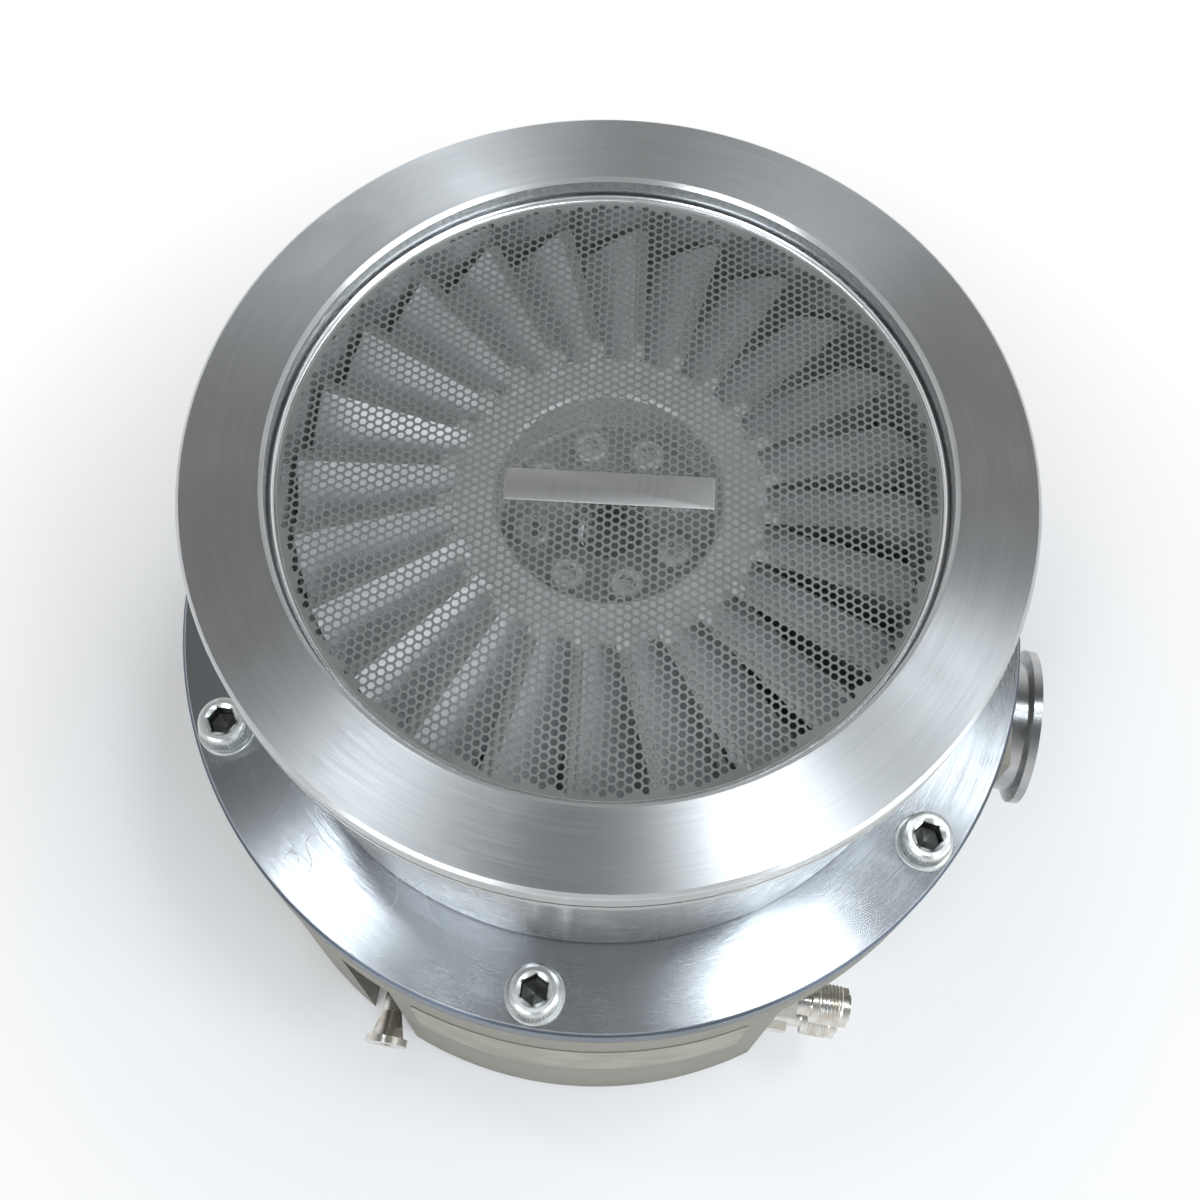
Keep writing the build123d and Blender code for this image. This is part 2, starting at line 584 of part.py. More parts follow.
def make_drag_stator():
    """A ring whose bore carries helical lands, drawn up with a steady turn."""
    land_r = SKIRT_R + DRAG_GAP
    groove_r = land_r + DRAG_GROOVE_DEPTH
    outer_r = groove_r + DRAG_WALL
    root_r = groove_r + DRAG_LAND_ROOT
    pitch = 360.0 / DRAG_LANDS
    half_land = pitch * DRAG_LAND_SHARE / 2
    land = Face(Wire([
        Line(polar(land_r, -half_land), polar(root_r, -half_land)),
        ThreePointArc(polar(root_r, -half_land), polar(root_r, 0), polar(root_r, half_land)),
        Line(polar(root_r, half_land), polar(land_r, half_land)),
        ThreePointArc(polar(land_r, half_land), polar(land_r, 0), polar(land_r, -half_land)),
    ]))
    land = land.moved(Location((0, 0, DRAG_FOOT_H)))
    rib = Solid.extrude_linear_with_rotation(land, (0, 0, DRAG_FOOT_H), (0, 0, DRAG_TOP_H - DRAG_FOOT_H),
                                             DRAG_TWIST)
    stator = turned(
        (groove_r, DRAG_FOOT_H), (outer_r, DRAG_FOOT_H), (outer_r, LEDGE_H), (STACK_R, LEDGE_H),
        (STACK_R, DRAG_TOP_H), (groove_r, DRAG_TOP_H),
    )
    return stator.fuse(*[rib.rotate(Axis.Z, pitch * i) for i in range(DRAG_LANDS)])


parts["drag_stator"] = make_drag_stator()

# ---- Bearing column --------------------------------------------------------------------------


def make_column():
    flange_top = BASE_FLOOR_H + COLUMN_FLANGE_T
    spigot_r = COLUMN_SPIGOT_R - THREAD_FIT
    seat_r = RACE_OUTER_R + THREAD_FIT
    column = turned(
        (CORE_R, COLUMN_FOOT_H), (spigot_r, COLUMN_FOOT_H), (spigot_r, BASE_FLOOR_H),
        (COLUMN_FLANGE_R, BASE_FLOOR_H), (COLUMN_FLANGE_R, flange_top), (COLUMN_R, flange_top),
        (COLUMN_R, COLUMN_TOP_H), (CORE_R, COLUMN_TOP_H), (CORE_R, COLUMN_WEB_TOP_H),
        (seat_r, COLUMN_WEB_TOP_H), (seat_r, LOWER_RACE_H), (seat_r - RACE_LIP, LOWER_RACE_H),
        (seat_r - RACE_LIP, COLUMN_WEB_H), (CORE_R, COLUMN_WEB_H),
    )
    for place in around(COLUMN_SCREW_COUNT, COLUMN_SCREW_PCD, 0, BASE_FLOOR_H):
        column -= place * disc(COLUMN_SCREW["thread_r"] + HOLE_ROOM, 0, COLUMN_FLANGE_T)
    depth = CARRIER_SCREW["length"] + CARRIER_SCREW["head_h"] - CARRIER_T + THREAD_ROOM
    for place in around(CARRIER_SCREW_COUNT, CARRIER_SCREW_PCD, 0, COLUMN_TOP_H - depth):
        column -= place * disc(CARRIER_SCREW["thread_r"] + THREAD_FIT, 0, depth)
    return column


def make_carrier():
    """The plate on the column's top that holds the upper touchdown bearing."""
    seat_r = RACE_OUTER_R + THREAD_FIT
    spigot_r = CORE_R - THREAD_FIT
    foot = COLUMN_TOP_H - CARRIER_SPIGOT
    carrier = turned(
        (seat_r - RACE_LIP, foot), (spigot_r, foot), (spigot_r, COLUMN_TOP_H), (COLUMN_R, COLUMN_TOP_H),
        (COLUMN_R, CARRIER_TOP_H), (seat_r, CARRIER_TOP_H), (seat_r, UPPER_RACE_H),
        (seat_r - RACE_LIP, UPPER_RACE_H),
    )
    for place in around(CARRIER_SCREW_COUNT, CARRIER_SCREW_PCD, 0, COLUMN_TOP_H):
        carrier -= place * disc(CARRIER_SCREW["thread_r"] + THREAD_FIT, 0, CARRIER_T)
        sunk = CARRIER_T - CARRIER_SCREW["head_h"]
        carrier -= place * disc(CARRIER_SCREW["head_r"] + HOLE_ROOM / 2, sunk, CARRIER_T)
    return carrier


def touchdown_bearing(name, low):
    inner_r = SHAFT_R + TOUCHDOWN_GAP
    high = low + RACE_W
    cage_rise = RACE_W * CAGE_INSET_SHARE
    parts[name + "_touchdown_outer_race"] = ring(RACE_OUTER_R, RACE_OUTER_R - RACE_T, low, high)
    parts[name + "_touchdown_inner_race"] = ring(inner_r + RACE_T, inner_r, low, high)
    parts[name + "_touchdown_ball_ring"] = ring(
        RACE_OUTER_R - RACE_T - BALL_GAP, inner_r + RACE_T + BALL_GAP, low + cage_rise, high - cage_rise)


parts["bearing_column"] = make_column()
parts["column_screws"] = screw_set(
    around(COLUMN_SCREW_COUNT, COLUMN_SCREW_PCD, 0, BASE_FLOOR_H + COLUMN_FLANGE_T), COLUMN_SCREW)
parts["upper_bearing_carrier"] = make_carrier()
parts["carrier_screws"] = screw_set(
    around(CARRIER_SCREW_COUNT, CARRIER_SCREW_PCD, 0, CARRIER_TOP_H - CARRIER_SCREW["head_h"]), CARRIER_SCREW)
touchdown_bearing("upper", UPPER_RACE_H)
touchdown_bearing("lower", LOWER_RACE_H)

# ---- Magnetic bearings and motor -------------------------------------------------------------


def wound_core(rotor_r, count, low, length):
    """A laminated core with inward poles, and a coil round each pole."""
    pole_r = rotor_r + AIR_GAP
    yoke_r = CORE_R - CORE_YOKE
    outer_r = CORE_R - CORE_FIT
    width = 2 * yoke_r * sin(radians(180.0 / count)) * POLE_SHARE
    core = ring(outer_r, yoke_r, low, low + length)
    turns = [360.0 / count * (i + 0.5) for i in range(count)]
    arm = block((pole_r - POLE_FACE_ROOM, -width / 2, low), (yoke_r + CORE_YOKE / 2, width / 2, low + length))
    core = core.fuse(*[Rot(0, 0, turn) * arm for turn in turns]) - disc(pole_r, low, low + length)
    grown = width / 2 + COIL_FIT + COIL_T
    inner = pole_r + COIL_FIT
    outer = sqrt(yoke_r**2 - grown**2) - COIL_FIT
    window = width / 2 + COIL_FIT
    coil = block((inner, -grown, low - COIL_FIT - COIL_T), (outer, grown, low + length + COIL_FIT + COIL_T))
    coil -= block((inner, -window, low - COIL_FIT), (outer, window, low + length + COIL_FIT))
    return core, [Rot(0, 0, turn) * coil for turn in turns]


for name, core_low in (("upper", UPPER_CORE_H), ("lower", LOWER_CORE_H)):
    core, coils = wound_core(SLEEVE_R, POLE_COUNT, core_low, BEARING_CORE_L)
    parts[name + "_bearing_core"] = core
    parts[name + "_bearing_coils"] = coils
parts["motor_core"], parts["motor_coils"] = wound_core(MAGNET_R, MOTOR_POLES, MOTOR_CORE_H, MOTOR_CORE_L)

for name, sensor_low in (("upper", UPPER_SENSOR_H), ("lower", LOWER_SENSOR_H)):
    parts[name + "_radial_sensor"] = ring(CORE_R - CORE_FIT, SHAFT_R + SENSOR_GAP, sensor_low,
                                          sensor_low + SENSOR_L)


def axial_magnet(low, slot_low):
    """A pot magnet of the axial bearing, with its winding slot towards the disc."""
    magnet = ring(CORE_R - CORE_FIT, AXIAL_MAGNET_BORE_R, low, low + AXIAL_MAGNET_L)
    return magnet - ring(AXIAL_COIL_R + AXIAL_COIL_W, AXIAL_COIL_R, slot_low, slot_low + AXIAL_COIL_DEPTH)


parts["upper_axial_magnet"] = axial_magnet(UPPER_AXIAL_H, UPPER_AXIAL_H)
parts["lower_axial_magnet"] = axial_magnet(LOWER_AXIAL_TOP - AXIAL_MAGNET_L,
                                           LOWER_AXIAL_TOP - AXIAL_COIL_DEPTH)
parts["axial_sensor"] = turned(
    (0, COVER_T), (CORE_R - CORE_FIT, COVER_T), (CORE_R - CORE_FIT, COLUMN_FOOT_H),
    (AXIAL_SENSOR_R, COLUMN_FOOT_H), (AXIAL_SENSOR_R, SHAFT_END_H - AXIAL_GAP), (0, SHAFT_END_H - AXIAL_GAP),
)

# ---- Base and bottom cover -------------------------------------------------------------------


def facing(angle, distance, z):
    """A place whose own +Z points outwards at an angle round the pump."""
    return Rot(0, 0, angle) * Pos(distance, 0, z) * Rot(0, 90, 0)


EXHAUST_SEAT = facing(0, EXHAUST_BOSS_X, EXHAUST_Z)
SOCKET_SEAT = facing(90, SOCKET_BOSS_Y, SOCKET_Z)
PURGE_X = BASE_R * cos(radians(PURGE_ANGLE))
PURGE_Y = EDGE_BEVEL + BASE_R * sin(radians(PURGE_ANGLE))
PURGE_SEAT = Pos(PURGE_X, PURGE_Y, BASE_H - PURGE_BELOW_JOINT) * Rot(90, 0, 0)
# The fittings' seat is the middle of the front pad's right-hand side face.
WATER_Y = -(sqrt(BASE_R**2 - FRONT_PAD_RIGHT**2) + sqrt(PAD_R**2 - FRONT_PAD_RIGHT**2)) / 2
WATER_SEATS = {name: Pos(FRONT_PAD_RIGHT, WATER_Y, BASE_H - drop) * Rot(0, 90, 0)
               for name, drop in WATER_BELOW_JOINT.items()}


def spot_face(seat, across_flats):
    """The flat that a fitting's hexagon turns on, cut into the wall."""
    return seat * disc(across_flats / sqrt(3) + HOLE_ROOM, 0, PURGE_HEX_L)


def tapped(places, screw, grip):
    """Tapped holes below each place for what a screw's length leaves under the clamped thickness."""
    depth = screw["length"] - grip + THREAD_ROOM
    return [place * disc(screw["thread_r"] + THREAD_FIT, -depth, 0) for place in places]


def make_base():
    flange_low = BASE_H - BASE_FLANGE_T
    base = turned(
        (COLUMN_SPIGOT_R, COVER_T), (COVER_R + STACK_FIT, COVER_T), (COVER_R + STACK_FIT, 0),
        (BASE_R - EDGE_BEVEL, 0), (BASE_R, EDGE_BEVEL), (BASE_R, flange_low),
        (JOINT_R - EDGE_BEVEL, flange_low), (JOINT_R, flange_low + EDGE_BEVEL),
        (JOINT_R, BASE_H - EDGE_BEVEL), (JOINT_R - EDGE_BEVEL, BASE_H),
        (CAVITY_R, BASE_H), (CAVITY_R, LEDGE_H), (PLENUM_R, LEDGE_H), (PLENUM_R, BASE_FLOOR_H),
        (COLUMN_SPIGOT_R, BASE_FLOOR_H),
    )
    middle_of_wall = (BASE_R + CAVITY_R) / 2
    for left, right in (LEFT_PAD_ANGLES, FRONT_PAD_ANGLES):
        left, right = PAD_R * cos(radians(left)), PAD_R * cos(radians(right))
        pad = disc(PAD_R, 0, flange_low) & block((left, -JOINT_R, 0), (right, 0, flange_low))
        base += pad - disc(middle_of_wall, 0, flange_low)
    half = EXHAUST_BOSS_W / 2
    exhaust_boss = block((0, -half, EXHAUST_Z - half), (EXHAUST_BOSS_X, half, BASE_H))
    exhaust_boss -= disc(middle_of_wall, 0, BASE_H)
    half = SOCKET_PLATE / 2
    socket_boss = block((-half, 0, SOCKET_Z - half), (half, SOCKET_BOSS_Y, SOCKET_Z + half))
    socket_boss -= disc(middle_of_wall, 0, BASE_H)
    base = base.fuse(exhaust_boss, socket_boss)
    base -= EXHAUST_SEAT * disc(EXHAUST_PASSAGE_R, -middle_of_wall / 2, 0)
    base -= EXHAUST_SEAT * disc(EXHAUST_SPIGOT_R + THREAD_FIT, -EXHAUST_SPIGOT_L, 0)
    groove = EXHAUST_RING_W / 2
    depth = EXHAUST_RING_W * RING_DEPTH_SHARE
    base -= EXHAUST_SEAT * ring(EXHAUST_RING_R + groove, EXHAUST_RING_R - groove, -depth, 0)
    groove, depth = JOINT_RING_W / 2, JOINT_RING_W * RING_DEPTH_SHARE
    base -= ring(JOINT_RING_R + groove, JOINT_RING_R - groove, BASE_H - depth, BASE_H)
    groove, depth = COVER_RING_W / 2, COVER_RING_W * RING_DEPTH_SHARE
    base -= ring(COVER_RING_R + groove, COVER_RING_R - groove, COVER_T, COVER_T + depth)
    joint_places = around(JOINT_BOLT_COUNT, JOINT_PCD, JOINT_BOLT_START, BASE_H)
    column_places = around(COLUMN_SCREW_COUNT, COLUMN_SCREW_PCD, 0, BASE_FLOOR_H)
    cover_places = around(COVER_SCREW_COUNT, COVER_SCREW_PCD, 0, COVER_T)
    cover_places = [place * Rot(180, 0, 0) for place in cover_places]
    foot_places = around(FOOT_HOLE_COUNT, FOOT_HOLE_PCD, FOOT_HOLE_START, 0)
    socket_places = [SOCKET_SEAT * place for place in square_places(SOCKET_SCREW_PITCH)]
    holes = tapped(joint_places, JOINT_SCREW, CASING_FLANGE_T)
    holes += tapped(column_places, COLUMN_SCREW, COLUMN_FLANGE_T)
    holes += tapped(cover_places, COVER_SCREW, COVER_T - COVER_SEAT_H)
    holes += tapped(socket_places, SOCKET_SCREW, SOCKET_PLATE_T)
    holes += [place * disc(FOOT_HOLE_R, 0, FOOT_HOLE_DEPTH) for place in foot_places]
    for seat in [PURGE_SEAT, *WATER_SEATS.values()]:
        holes.append(seat * disc(FITTING_THREAD_R + THREAD_FIT, -FITTING_THREAD_L - THREAD_ROOM, 0))
        holes.append(spot_face(seat, max(PURGE_HEX_AF, WATER_HEX_AF)))
    return base - holes


def make_cover():
    cover = disc(COVER_R, 0, COVER_T)
    for place in around(COVER_SCREW_COUNT, COVER_SCREW_PCD, 0):
        cover -= place * disc(COVER_SCREW["thread_r"] + HOLE_ROOM, 0, COVER_T)
        cover -= place * disc(COVER_SCREW["head_r"] + HOLE_ROOM, 0, COVER_SEAT_H)
    return cover


parts["base"] = make_base()
parts["bottom_cover"] = make_cover()
COVER_SEATS = [place * Rot(180, 0, 0)
               for place in around(COVER_SCREW_COUNT, COVER_SCREW_PCD, 0, COVER_SEAT_H)]
parts["bottom_cover_screws"] = screw_set(COVER_SEATS, COVER_SCREW)
parts["bottom_cover_sealing_ring"] = ring(
    COVER_RING_R + COVER_RING_W / 2 - SEAL_FIT, COVER_RING_R - COVER_RING_W / 2 + SEAL_FIT,
    COVER_T, COVER_T + COVER_RING_W * RING_DEPTH_SHARE)

# ---- Ports -----------------------------------------------------------------------------------


def make_exhaust_port():
    """A tube with a clamping flange, a collar against the boss and a spigot. Made along +Z from the boss."""
    length = EXHAUST_L
    rim = length - EXHAUST_RIM_T
    taper = (EXHAUST_FLANGE_R - EXHAUST_TUBE_R) * tan(radians(EXHAUST_TAPER))
    return turned(
        (EXHAUST_BORE_R, -EXHAUST_SPIGOT_L), (EXHAUST_SPIGOT_R, -EXHAUST_SPIGOT_L), (EXHAUST_SPIGOT_R, 0),
        (EXHAUST_FLANGE_R, 0), (EXHAUST_FLANGE_R, EXHAUST_COLLAR_T), (EXHAUST_TUBE_R, EXHAUST_COLLAR_T),
        (EXHAUST_TUBE_R, rim - taper), (EXHAUST_FLANGE_R, rim), (EXHAUST_FLANGE_R, length),
        (EXHAUST_BORE_R, length),
    )


def make_purge_port():
    """A hexagon and a stem that flares to a plain disc end, bored through. Made along +Z from its seat."""
    disc_low = PURGE_L - PURGE_DISC_T
    port = disc(FITTING_THREAD_R, -FITTING_THREAD_L, 0) + hexagon(PURGE_HEX_AF, 0, PURGE_HEX_L)
    port += turned((0, 0), (PURGE_STEM_R, 0), (PURGE_STEM_R, disc_low - PURGE_CONE_L),
                   (PURGE_CONE_R, disc_low), (PURGE_DISC_R, disc_low), (PURGE_DISC_R, PURGE_L), (0, PURGE_L))
    return port - disc(PURGE_BORE_R, -FITTING_THREAD_L, PURGE_L)


def make_water_fitting():
    """A hexagon, a stem and a round clamping nut, bored through. Made along +Z from the pad's side."""
    length = WATER_L
    fitting = disc(FITTING_THREAD_R, -FITTING_THREAD_L, 0) + hexagon(WATER_HEX_AF, 0, WATER_HEX_L)
    fitting += disc(WATER_STEM_R, 0, length)
    fitting += disc(WATER_NUT_R, length - WATER_NUT_L, length - EDGE_BEVEL)
    return fitting - disc(WATER_BORE_R, -FITTING_THREAD_L, length)


def make_socket():
    """The electrical socket: a round shell on a square plate, with a recessed face and contact pins."""
    length = SOCKET_L
    face = length - SOCKET_FACE_DEPTH
    plate = Box(SOCKET_PLATE, SOCKET_PLATE, SOCKET_PLATE_T, align=UPRIGHT)
    plate = fillet(plate.edges().filter_by(Axis.Z), SOCKET_SCREW["head_r"])
    socket = plate + disc(SOCKET_R, 0, length) - disc(SOCKET_R - SOCKET_WALL, face, length)
    for place in around(SOCKET_PINS, 2 * SOCKET_PIN_RING_R, 0, face):
        socket += place * disc(SOCKET_PIN_R, -EDGE_BEVEL, SOCKET_PIN_L)
    for place in square_places(SOCKET_SCREW_PITCH):
        socket -= place * disc(SOCKET_SCREW["thread_r"] + HOLE_ROOM, 0, SOCKET_PLATE_T)
    return socket


parts["exhaust_port"] = EXHAUST_SEAT * make_exhaust_port()
parts["exhaust_sealing_ring"] = EXHAUST_SEAT * ring(
    EXHAUST_RING_R + EXHAUST_RING_W / 2 - SEAL_FIT, EXHAUST_RING_R - EXHAUST_RING_W / 2 + SEAL_FIT,
    -EXHAUST_RING_W * RING_DEPTH_SHARE, 0)
parts["purge_port"] = PURGE_SEAT * make_purge_port()
for name, seat in WATER_SEATS.items():
    parts[name] = seat * make_water_fitting()
parts["electrical_socket"] = SOCKET_SEAT * make_socket()
parts["socket_screws"] = [
    SOCKET_SEAT * Pos(0, 0, SOCKET_PLATE_T) * screw
    for screw in screw_set(square_places(SOCKET_SCREW_PITCH), SOCKET_SCREW)]

# ---- Files -----------------------------------------------------------------------------------

os.makedirs("parts", exist_ok=True)
for name, shape in parts.items():
    solids = shape if isinstance(shape, list) else shape.solids()
    bodies = [solid for item in solids for solid in item.solids()]
    whole = bodies[0] if len(bodies) == 1 else Compound(bodies)
    export_step(whole, f"parts/{name}.step")
print(len(parts), "sub-parts written")
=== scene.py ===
# %% [markdown]
# # A turbomolecular pump, dressed for its portrait
#
# A turbomolecular pump makes a very good vacuum. Rows of blades spin tens of thousands of times a
# minute between rows of still blades and knock gas molecules downwards, out of a vacuum chamber.
# Its shapes come ready made: they were drawn in a CAD program and packed as a fixed frame. This
# lesson adds what CAD leaves out, which is fine detail, metal finishes, light and a camera.
#
# We begin by loading the frame. Everything in it is in metres, with the origin at the centre of the
# pump's foot, so later pieces are placed by asking the frame where its parts are.

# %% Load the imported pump
from math import cos, pi, radians, sin, sqrt

import bmesh
import bpy
from mathutils import Matrix, Vector


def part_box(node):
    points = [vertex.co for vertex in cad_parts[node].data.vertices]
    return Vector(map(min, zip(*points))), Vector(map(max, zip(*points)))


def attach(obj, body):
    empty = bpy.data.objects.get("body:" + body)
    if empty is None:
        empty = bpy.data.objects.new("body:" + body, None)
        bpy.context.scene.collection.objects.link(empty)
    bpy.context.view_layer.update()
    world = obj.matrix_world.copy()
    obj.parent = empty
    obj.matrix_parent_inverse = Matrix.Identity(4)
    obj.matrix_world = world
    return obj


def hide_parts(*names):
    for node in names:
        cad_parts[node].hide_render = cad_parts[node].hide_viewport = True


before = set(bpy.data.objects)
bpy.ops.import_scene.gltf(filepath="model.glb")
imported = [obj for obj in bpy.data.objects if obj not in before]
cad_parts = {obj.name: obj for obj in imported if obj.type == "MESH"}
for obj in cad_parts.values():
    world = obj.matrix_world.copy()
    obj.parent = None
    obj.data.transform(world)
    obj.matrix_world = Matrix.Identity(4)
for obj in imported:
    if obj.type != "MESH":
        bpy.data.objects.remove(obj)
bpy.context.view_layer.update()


# %% Places that everything else is measured from
def box_mm(node):
    """A node's lowest and highest corners in millimetres, which suit a pump this size better."""
    low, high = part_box(node)
    return low * 1000, high * 1000


casing_low, casing_high = box_mm("casing")
inlet_z = casing_high.z
joint_z = casing_low.z
joint_radius = casing_high.x
print(f"inlet face at {inlet_z:.1f} mm, joint at {joint_z:.1f} mm, flange radius {joint_radius:.1f} mm")

HEAD_R, HEAD_H = 8.0, 10.0  # the head of an M10 socket head screw
screws_high = box_mm("casing_screws")[1]
SCREW_CIRCLE = screws_high.y - HEAD_R
flange_z = screws_high.z - HEAD_H
print(f"screw circle {2 * SCREW_CIRCLE:.0f} mm across at {flange_z:.1f} mm")

# %% [markdown]
# ## The camera
#
# A camera can be placed by hand, by pointing an empty at the subject, or by writing its matrix. The
# matrix is exact: its columns are the camera's right, up and backward directions, and its last column
# is where it stands. This camera looks down steeply from close by, as a person does who leans over
# the pump, so near parts look larger than far ones. Lens shift slides the picture without turning
# the camera, which keeps the perspective as it is.

# %% Stand the camera over the inlet
VIEW_ELEVATION = radians(63.17)
VIEW_TURN = radians(6.5)  # how far the view is turned round the pump
VIEW_ROLL = radians(2.92)  # how far the camera leans to one side
VIEW_DISTANCE = 447.44  # from the middle of the inlet face
VIEW_LENS = 48.25
VIEW_SHIFT = (-0.0091, -0.1158)

turn = Matrix.Rotation(VIEW_TURN, 3, "Z")
backward = Vector((0, -cos(VIEW_ELEVATION), sin(VIEW_ELEVATION)))
level_right = Vector((1, 0, 0))
level_up = backward.cross(level_right)
right = level_right * cos(VIEW_ROLL) + level_up * sin(VIEW_ROLL)
up = level_up * cos(VIEW_ROLL) - level_right * sin(VIEW_ROLL)
stand = turn @ (backward * VIEW_DISTANCE) + Vector((0, 0, inlet_z))

camera = bpy.data.objects.new("camera", bpy.data.cameras.new("camera"))
bpy.context.scene.collection.objects.link(camera)
matrix = Matrix([turn @ right, turn @ up, turn @ backward]).transposed().to_4x4()
matrix.translation = stand / 1000
camera.matrix_world = matrix
camera.data.lens = VIEW_LENS
camera.data.sensor_width = 36
camera.data.shift_x, camera.data.shift_y = VIEW_SHIFT
camera.data.clip_start = 0.02
bpy.context.scene.camera = camera
print("camera stands at", [round(v, 3) for v in camera.matrix_world.translation])

# %% [markdown]
# ## Sums with shader nodes
#
# A procedural material is a web of nodes, and joining nodes by hand soon hides what they work out.
# Blender could also be given ready pictures as textures, but sums look sharp at every distance. The
# small class below wraps one output socket. Adding or multiplying two wraps adds the Math node that
# does it, so a material reads like a formula. Every other node comes from its one method, `node`.


# %% A socket that does sums
class Wire:
    """An output socket of a node tree. With no socket it only knows its tree."""

    def __init__(self, tree, socket=None):
        self.tree, self.socket = tree, socket

    def node(self, kind, settings=None, sockets=None, out=0):
        """Adds a node, sets it up, feeds its sockets and returns one of its outputs."""
        made = self.tree.nodes.new(kind)
        for name, value in (settings or {}).items():
            setattr(made, name, value)
        for name, value in (sockets or {}).items():
            if isinstance(value, Wire):
                self.tree.links.new(value.socket, made.inputs[name])
            else:
                made.inputs[name].default_value = value
        return Wire(self.tree, made.outputs[out])

    def __getitem__(self, name):
        """Another output of the same node."""
        return Wire(self.tree, self.socket.node.outputs[name])

    def sum(self, operation, first, second=0.0):
        """A Math node with two inputs, such as a power or the larger of two values."""
        return self.node("ShaderNodeMath", {"operation": operation}, {0: first, 1: second})

    def __add__(self, other):
        return self.sum("ADD", self, other)

    def __radd__(self, other):
        return self.sum("ADD", other, self)

    def __sub__(self, other):
        return self.sum("SUBTRACT", self, other)

    def __rsub__(self, other):
        return self.sum("SUBTRACT", other, self)

    def __mul__(self, other):
        return self.sum("MULTIPLY", self, other)

    def __rmul__(self, other):
        return self.sum("MULTIPLY", other, self)

    def __pow__(self, other):
        return self.sum("POWER", self, other)


# %% [markdown]
# A few patterns turn up in many finishes: soft mottling, fine scratches, the rings that a lathe
# leaves, and a mask that fades from 0 to 1 between two heights or radii. Each gets a helper. All of
# them work on the piece's own position in millimetres, so a pattern keeps its true size.


# %% Patterns that the finishes share
def begin(name, **constants):
    """A new material with its shader's constants set, and the position in millimetres."""
    material = bpy.data.materials.new(name)
    material.use_nodes = True
    tree = material.node_tree
    shader = tree.nodes["Principled BSDF"]
    for socket, value in constants.items():
        shader.inputs[socket.replace("_", " ")].default_value = value
    start = Wire(tree)
    metres = start.node("ShaderNodeTexCoord", out="Object")
    place = start.node("ShaderNodeVectorMath", {"operation": "SCALE"}, {0: metres, "Scale": 1000.0})
    return material, place


def feed(material, **links):
    """Joins wires to the shader's sockets: Base_Color=wire becomes a link to Base Color."""
    shader = material.node_tree.nodes["Principled BSDF"]
    for socket, wire in links.items():
        material.node_tree.links.new(wire.socket, shader.inputs[socket.replace("_", " ")])
    return material


def fade(value, low, high, start=0.0, end=1.0):
    """Goes from start to end while value goes from low to high, and stays there."""
    return value.node("ShaderNodeMapRange", {"clamp": True},
                      {"Value": value, "From Min": low, "From Max": high, "To Min": start, "To Max": end})


def mottle(place, size, detail=3.0, rough=0.55):
    """Soft noise from 0 to 1 whose patches are about size millimetres across."""
    return place.node("ShaderNodeTexNoise", {"noise_dimensions": "3D"},
                      {"Vector": place, "Scale": 1.0 / size, "Detail": detail, "Roughness": rough})


def tint(amount, first, second, mode="MIX"):
    """A colour that goes from first to second as amount goes from 0 to 1."""
    return amount.node("ShaderNodeMix", {"data_type": "RGBA", "blend_type": mode},
                       {0: amount, 6: first, 7: second}, out=2)


def relief(height, distance, strength=1.0):
    """A normal that makes height, from 0 to 1, look distance metres deep."""
    return height.node("ShaderNodeBump", {}, {"Strength": strength, "Distance": distance, "Height": height},
                       out="Normal")


def axes(place):
    """The x, y and z of a position as three wires."""
    split = place.node("ShaderNodeSeparateXYZ", {}, {"Vector": place})
    return split["X"], split["Y"], split["Z"]


def vector(x, y, z):
    """Three wires joined into one position."""
    return x.node("ShaderNodeCombineXYZ", {}, {"X": x, "Y": y, "Z": z})


def round_the_axis(place):
    """Distance from the pump's axis, angle round it, and height."""
    x, y, z = axes(place)
    radius = (x * x + y * y) ** 0.5
    angle = x.sum("ARCTAN2", y, x)
    return radius, angle, z


def rgb(red, green, blue):
    """A colour as sockets want it, with full alpha."""
    return (red, green, blue, 1.0)


print("pattern helpers ready")

# %% [markdown]
# ## Turned aluminium
#
# The casing is turned on a lathe from one block. The tool leaves rings too fine to see one by one,
# but together they bend the reflections: light spreads across the rings and not along them, which
# is why such a face shows bright and dark wedges round its centre. Blender could show it with
# millions of tiny grooves in the mesh. The Principled shader's Anisotropic setting does the same
# far more cheaply. The rings that are wide enough to see come from noise stretched along the angle.


# %% A lathe-turned finish
def lathe_lines(place, pitch, spread=0.6):
    """Rings about pitch millimetres apart that drift slightly as they go round."""
    radius, angle, z = round_the_axis(place)
    return place.node("ShaderNodeTexNoise", {"noise_dimensions": "3D"}, {
        "Vector": vector(radius * (1 / pitch), angle * spread, z * (1 / pitch)), "Scale": 1.0,
        "Detail": 2.0, "Roughness": 0.6})


def scuffs(place, size, amount):
    """Thin stray scratches: the places where a warped noise crosses its middle value."""
    warp = mottle(place, size * 2, 1.0)
    x, y, z = axes(place)
    line = place.node("ShaderNodeTexNoise", {"noise_dimensions": "3D"}, {
        "Vector": vector(x + warp * (size * 0.9), y * 0.35, z), "Scale": 1 / size, "Detail": 1.0})
    edge = (line - 0.5).sum("ABSOLUTE", line - 0.5)
    return fade(edge, 0.0, 0.006, amount, 0.0) * fade(mottle(place, size * 1.7, 0.0), 0.52, 0.6)


# %% [markdown]
# The casing is one piece in one metal, and still its parts differ. The inlet face is handled most, so
# it is duller. The lower flange gets a painted bluish reflection, and the cut sides of both flanges get
# painted dark reflections, so they look darker than their faces. Separate materials would leave hard
# borders, so one material tells the parts apart by their height and radius, and fades from each to the
# next.

# %% The casing's finish
INLET_RADIUS = 120.0  # the clamp flange's standard size


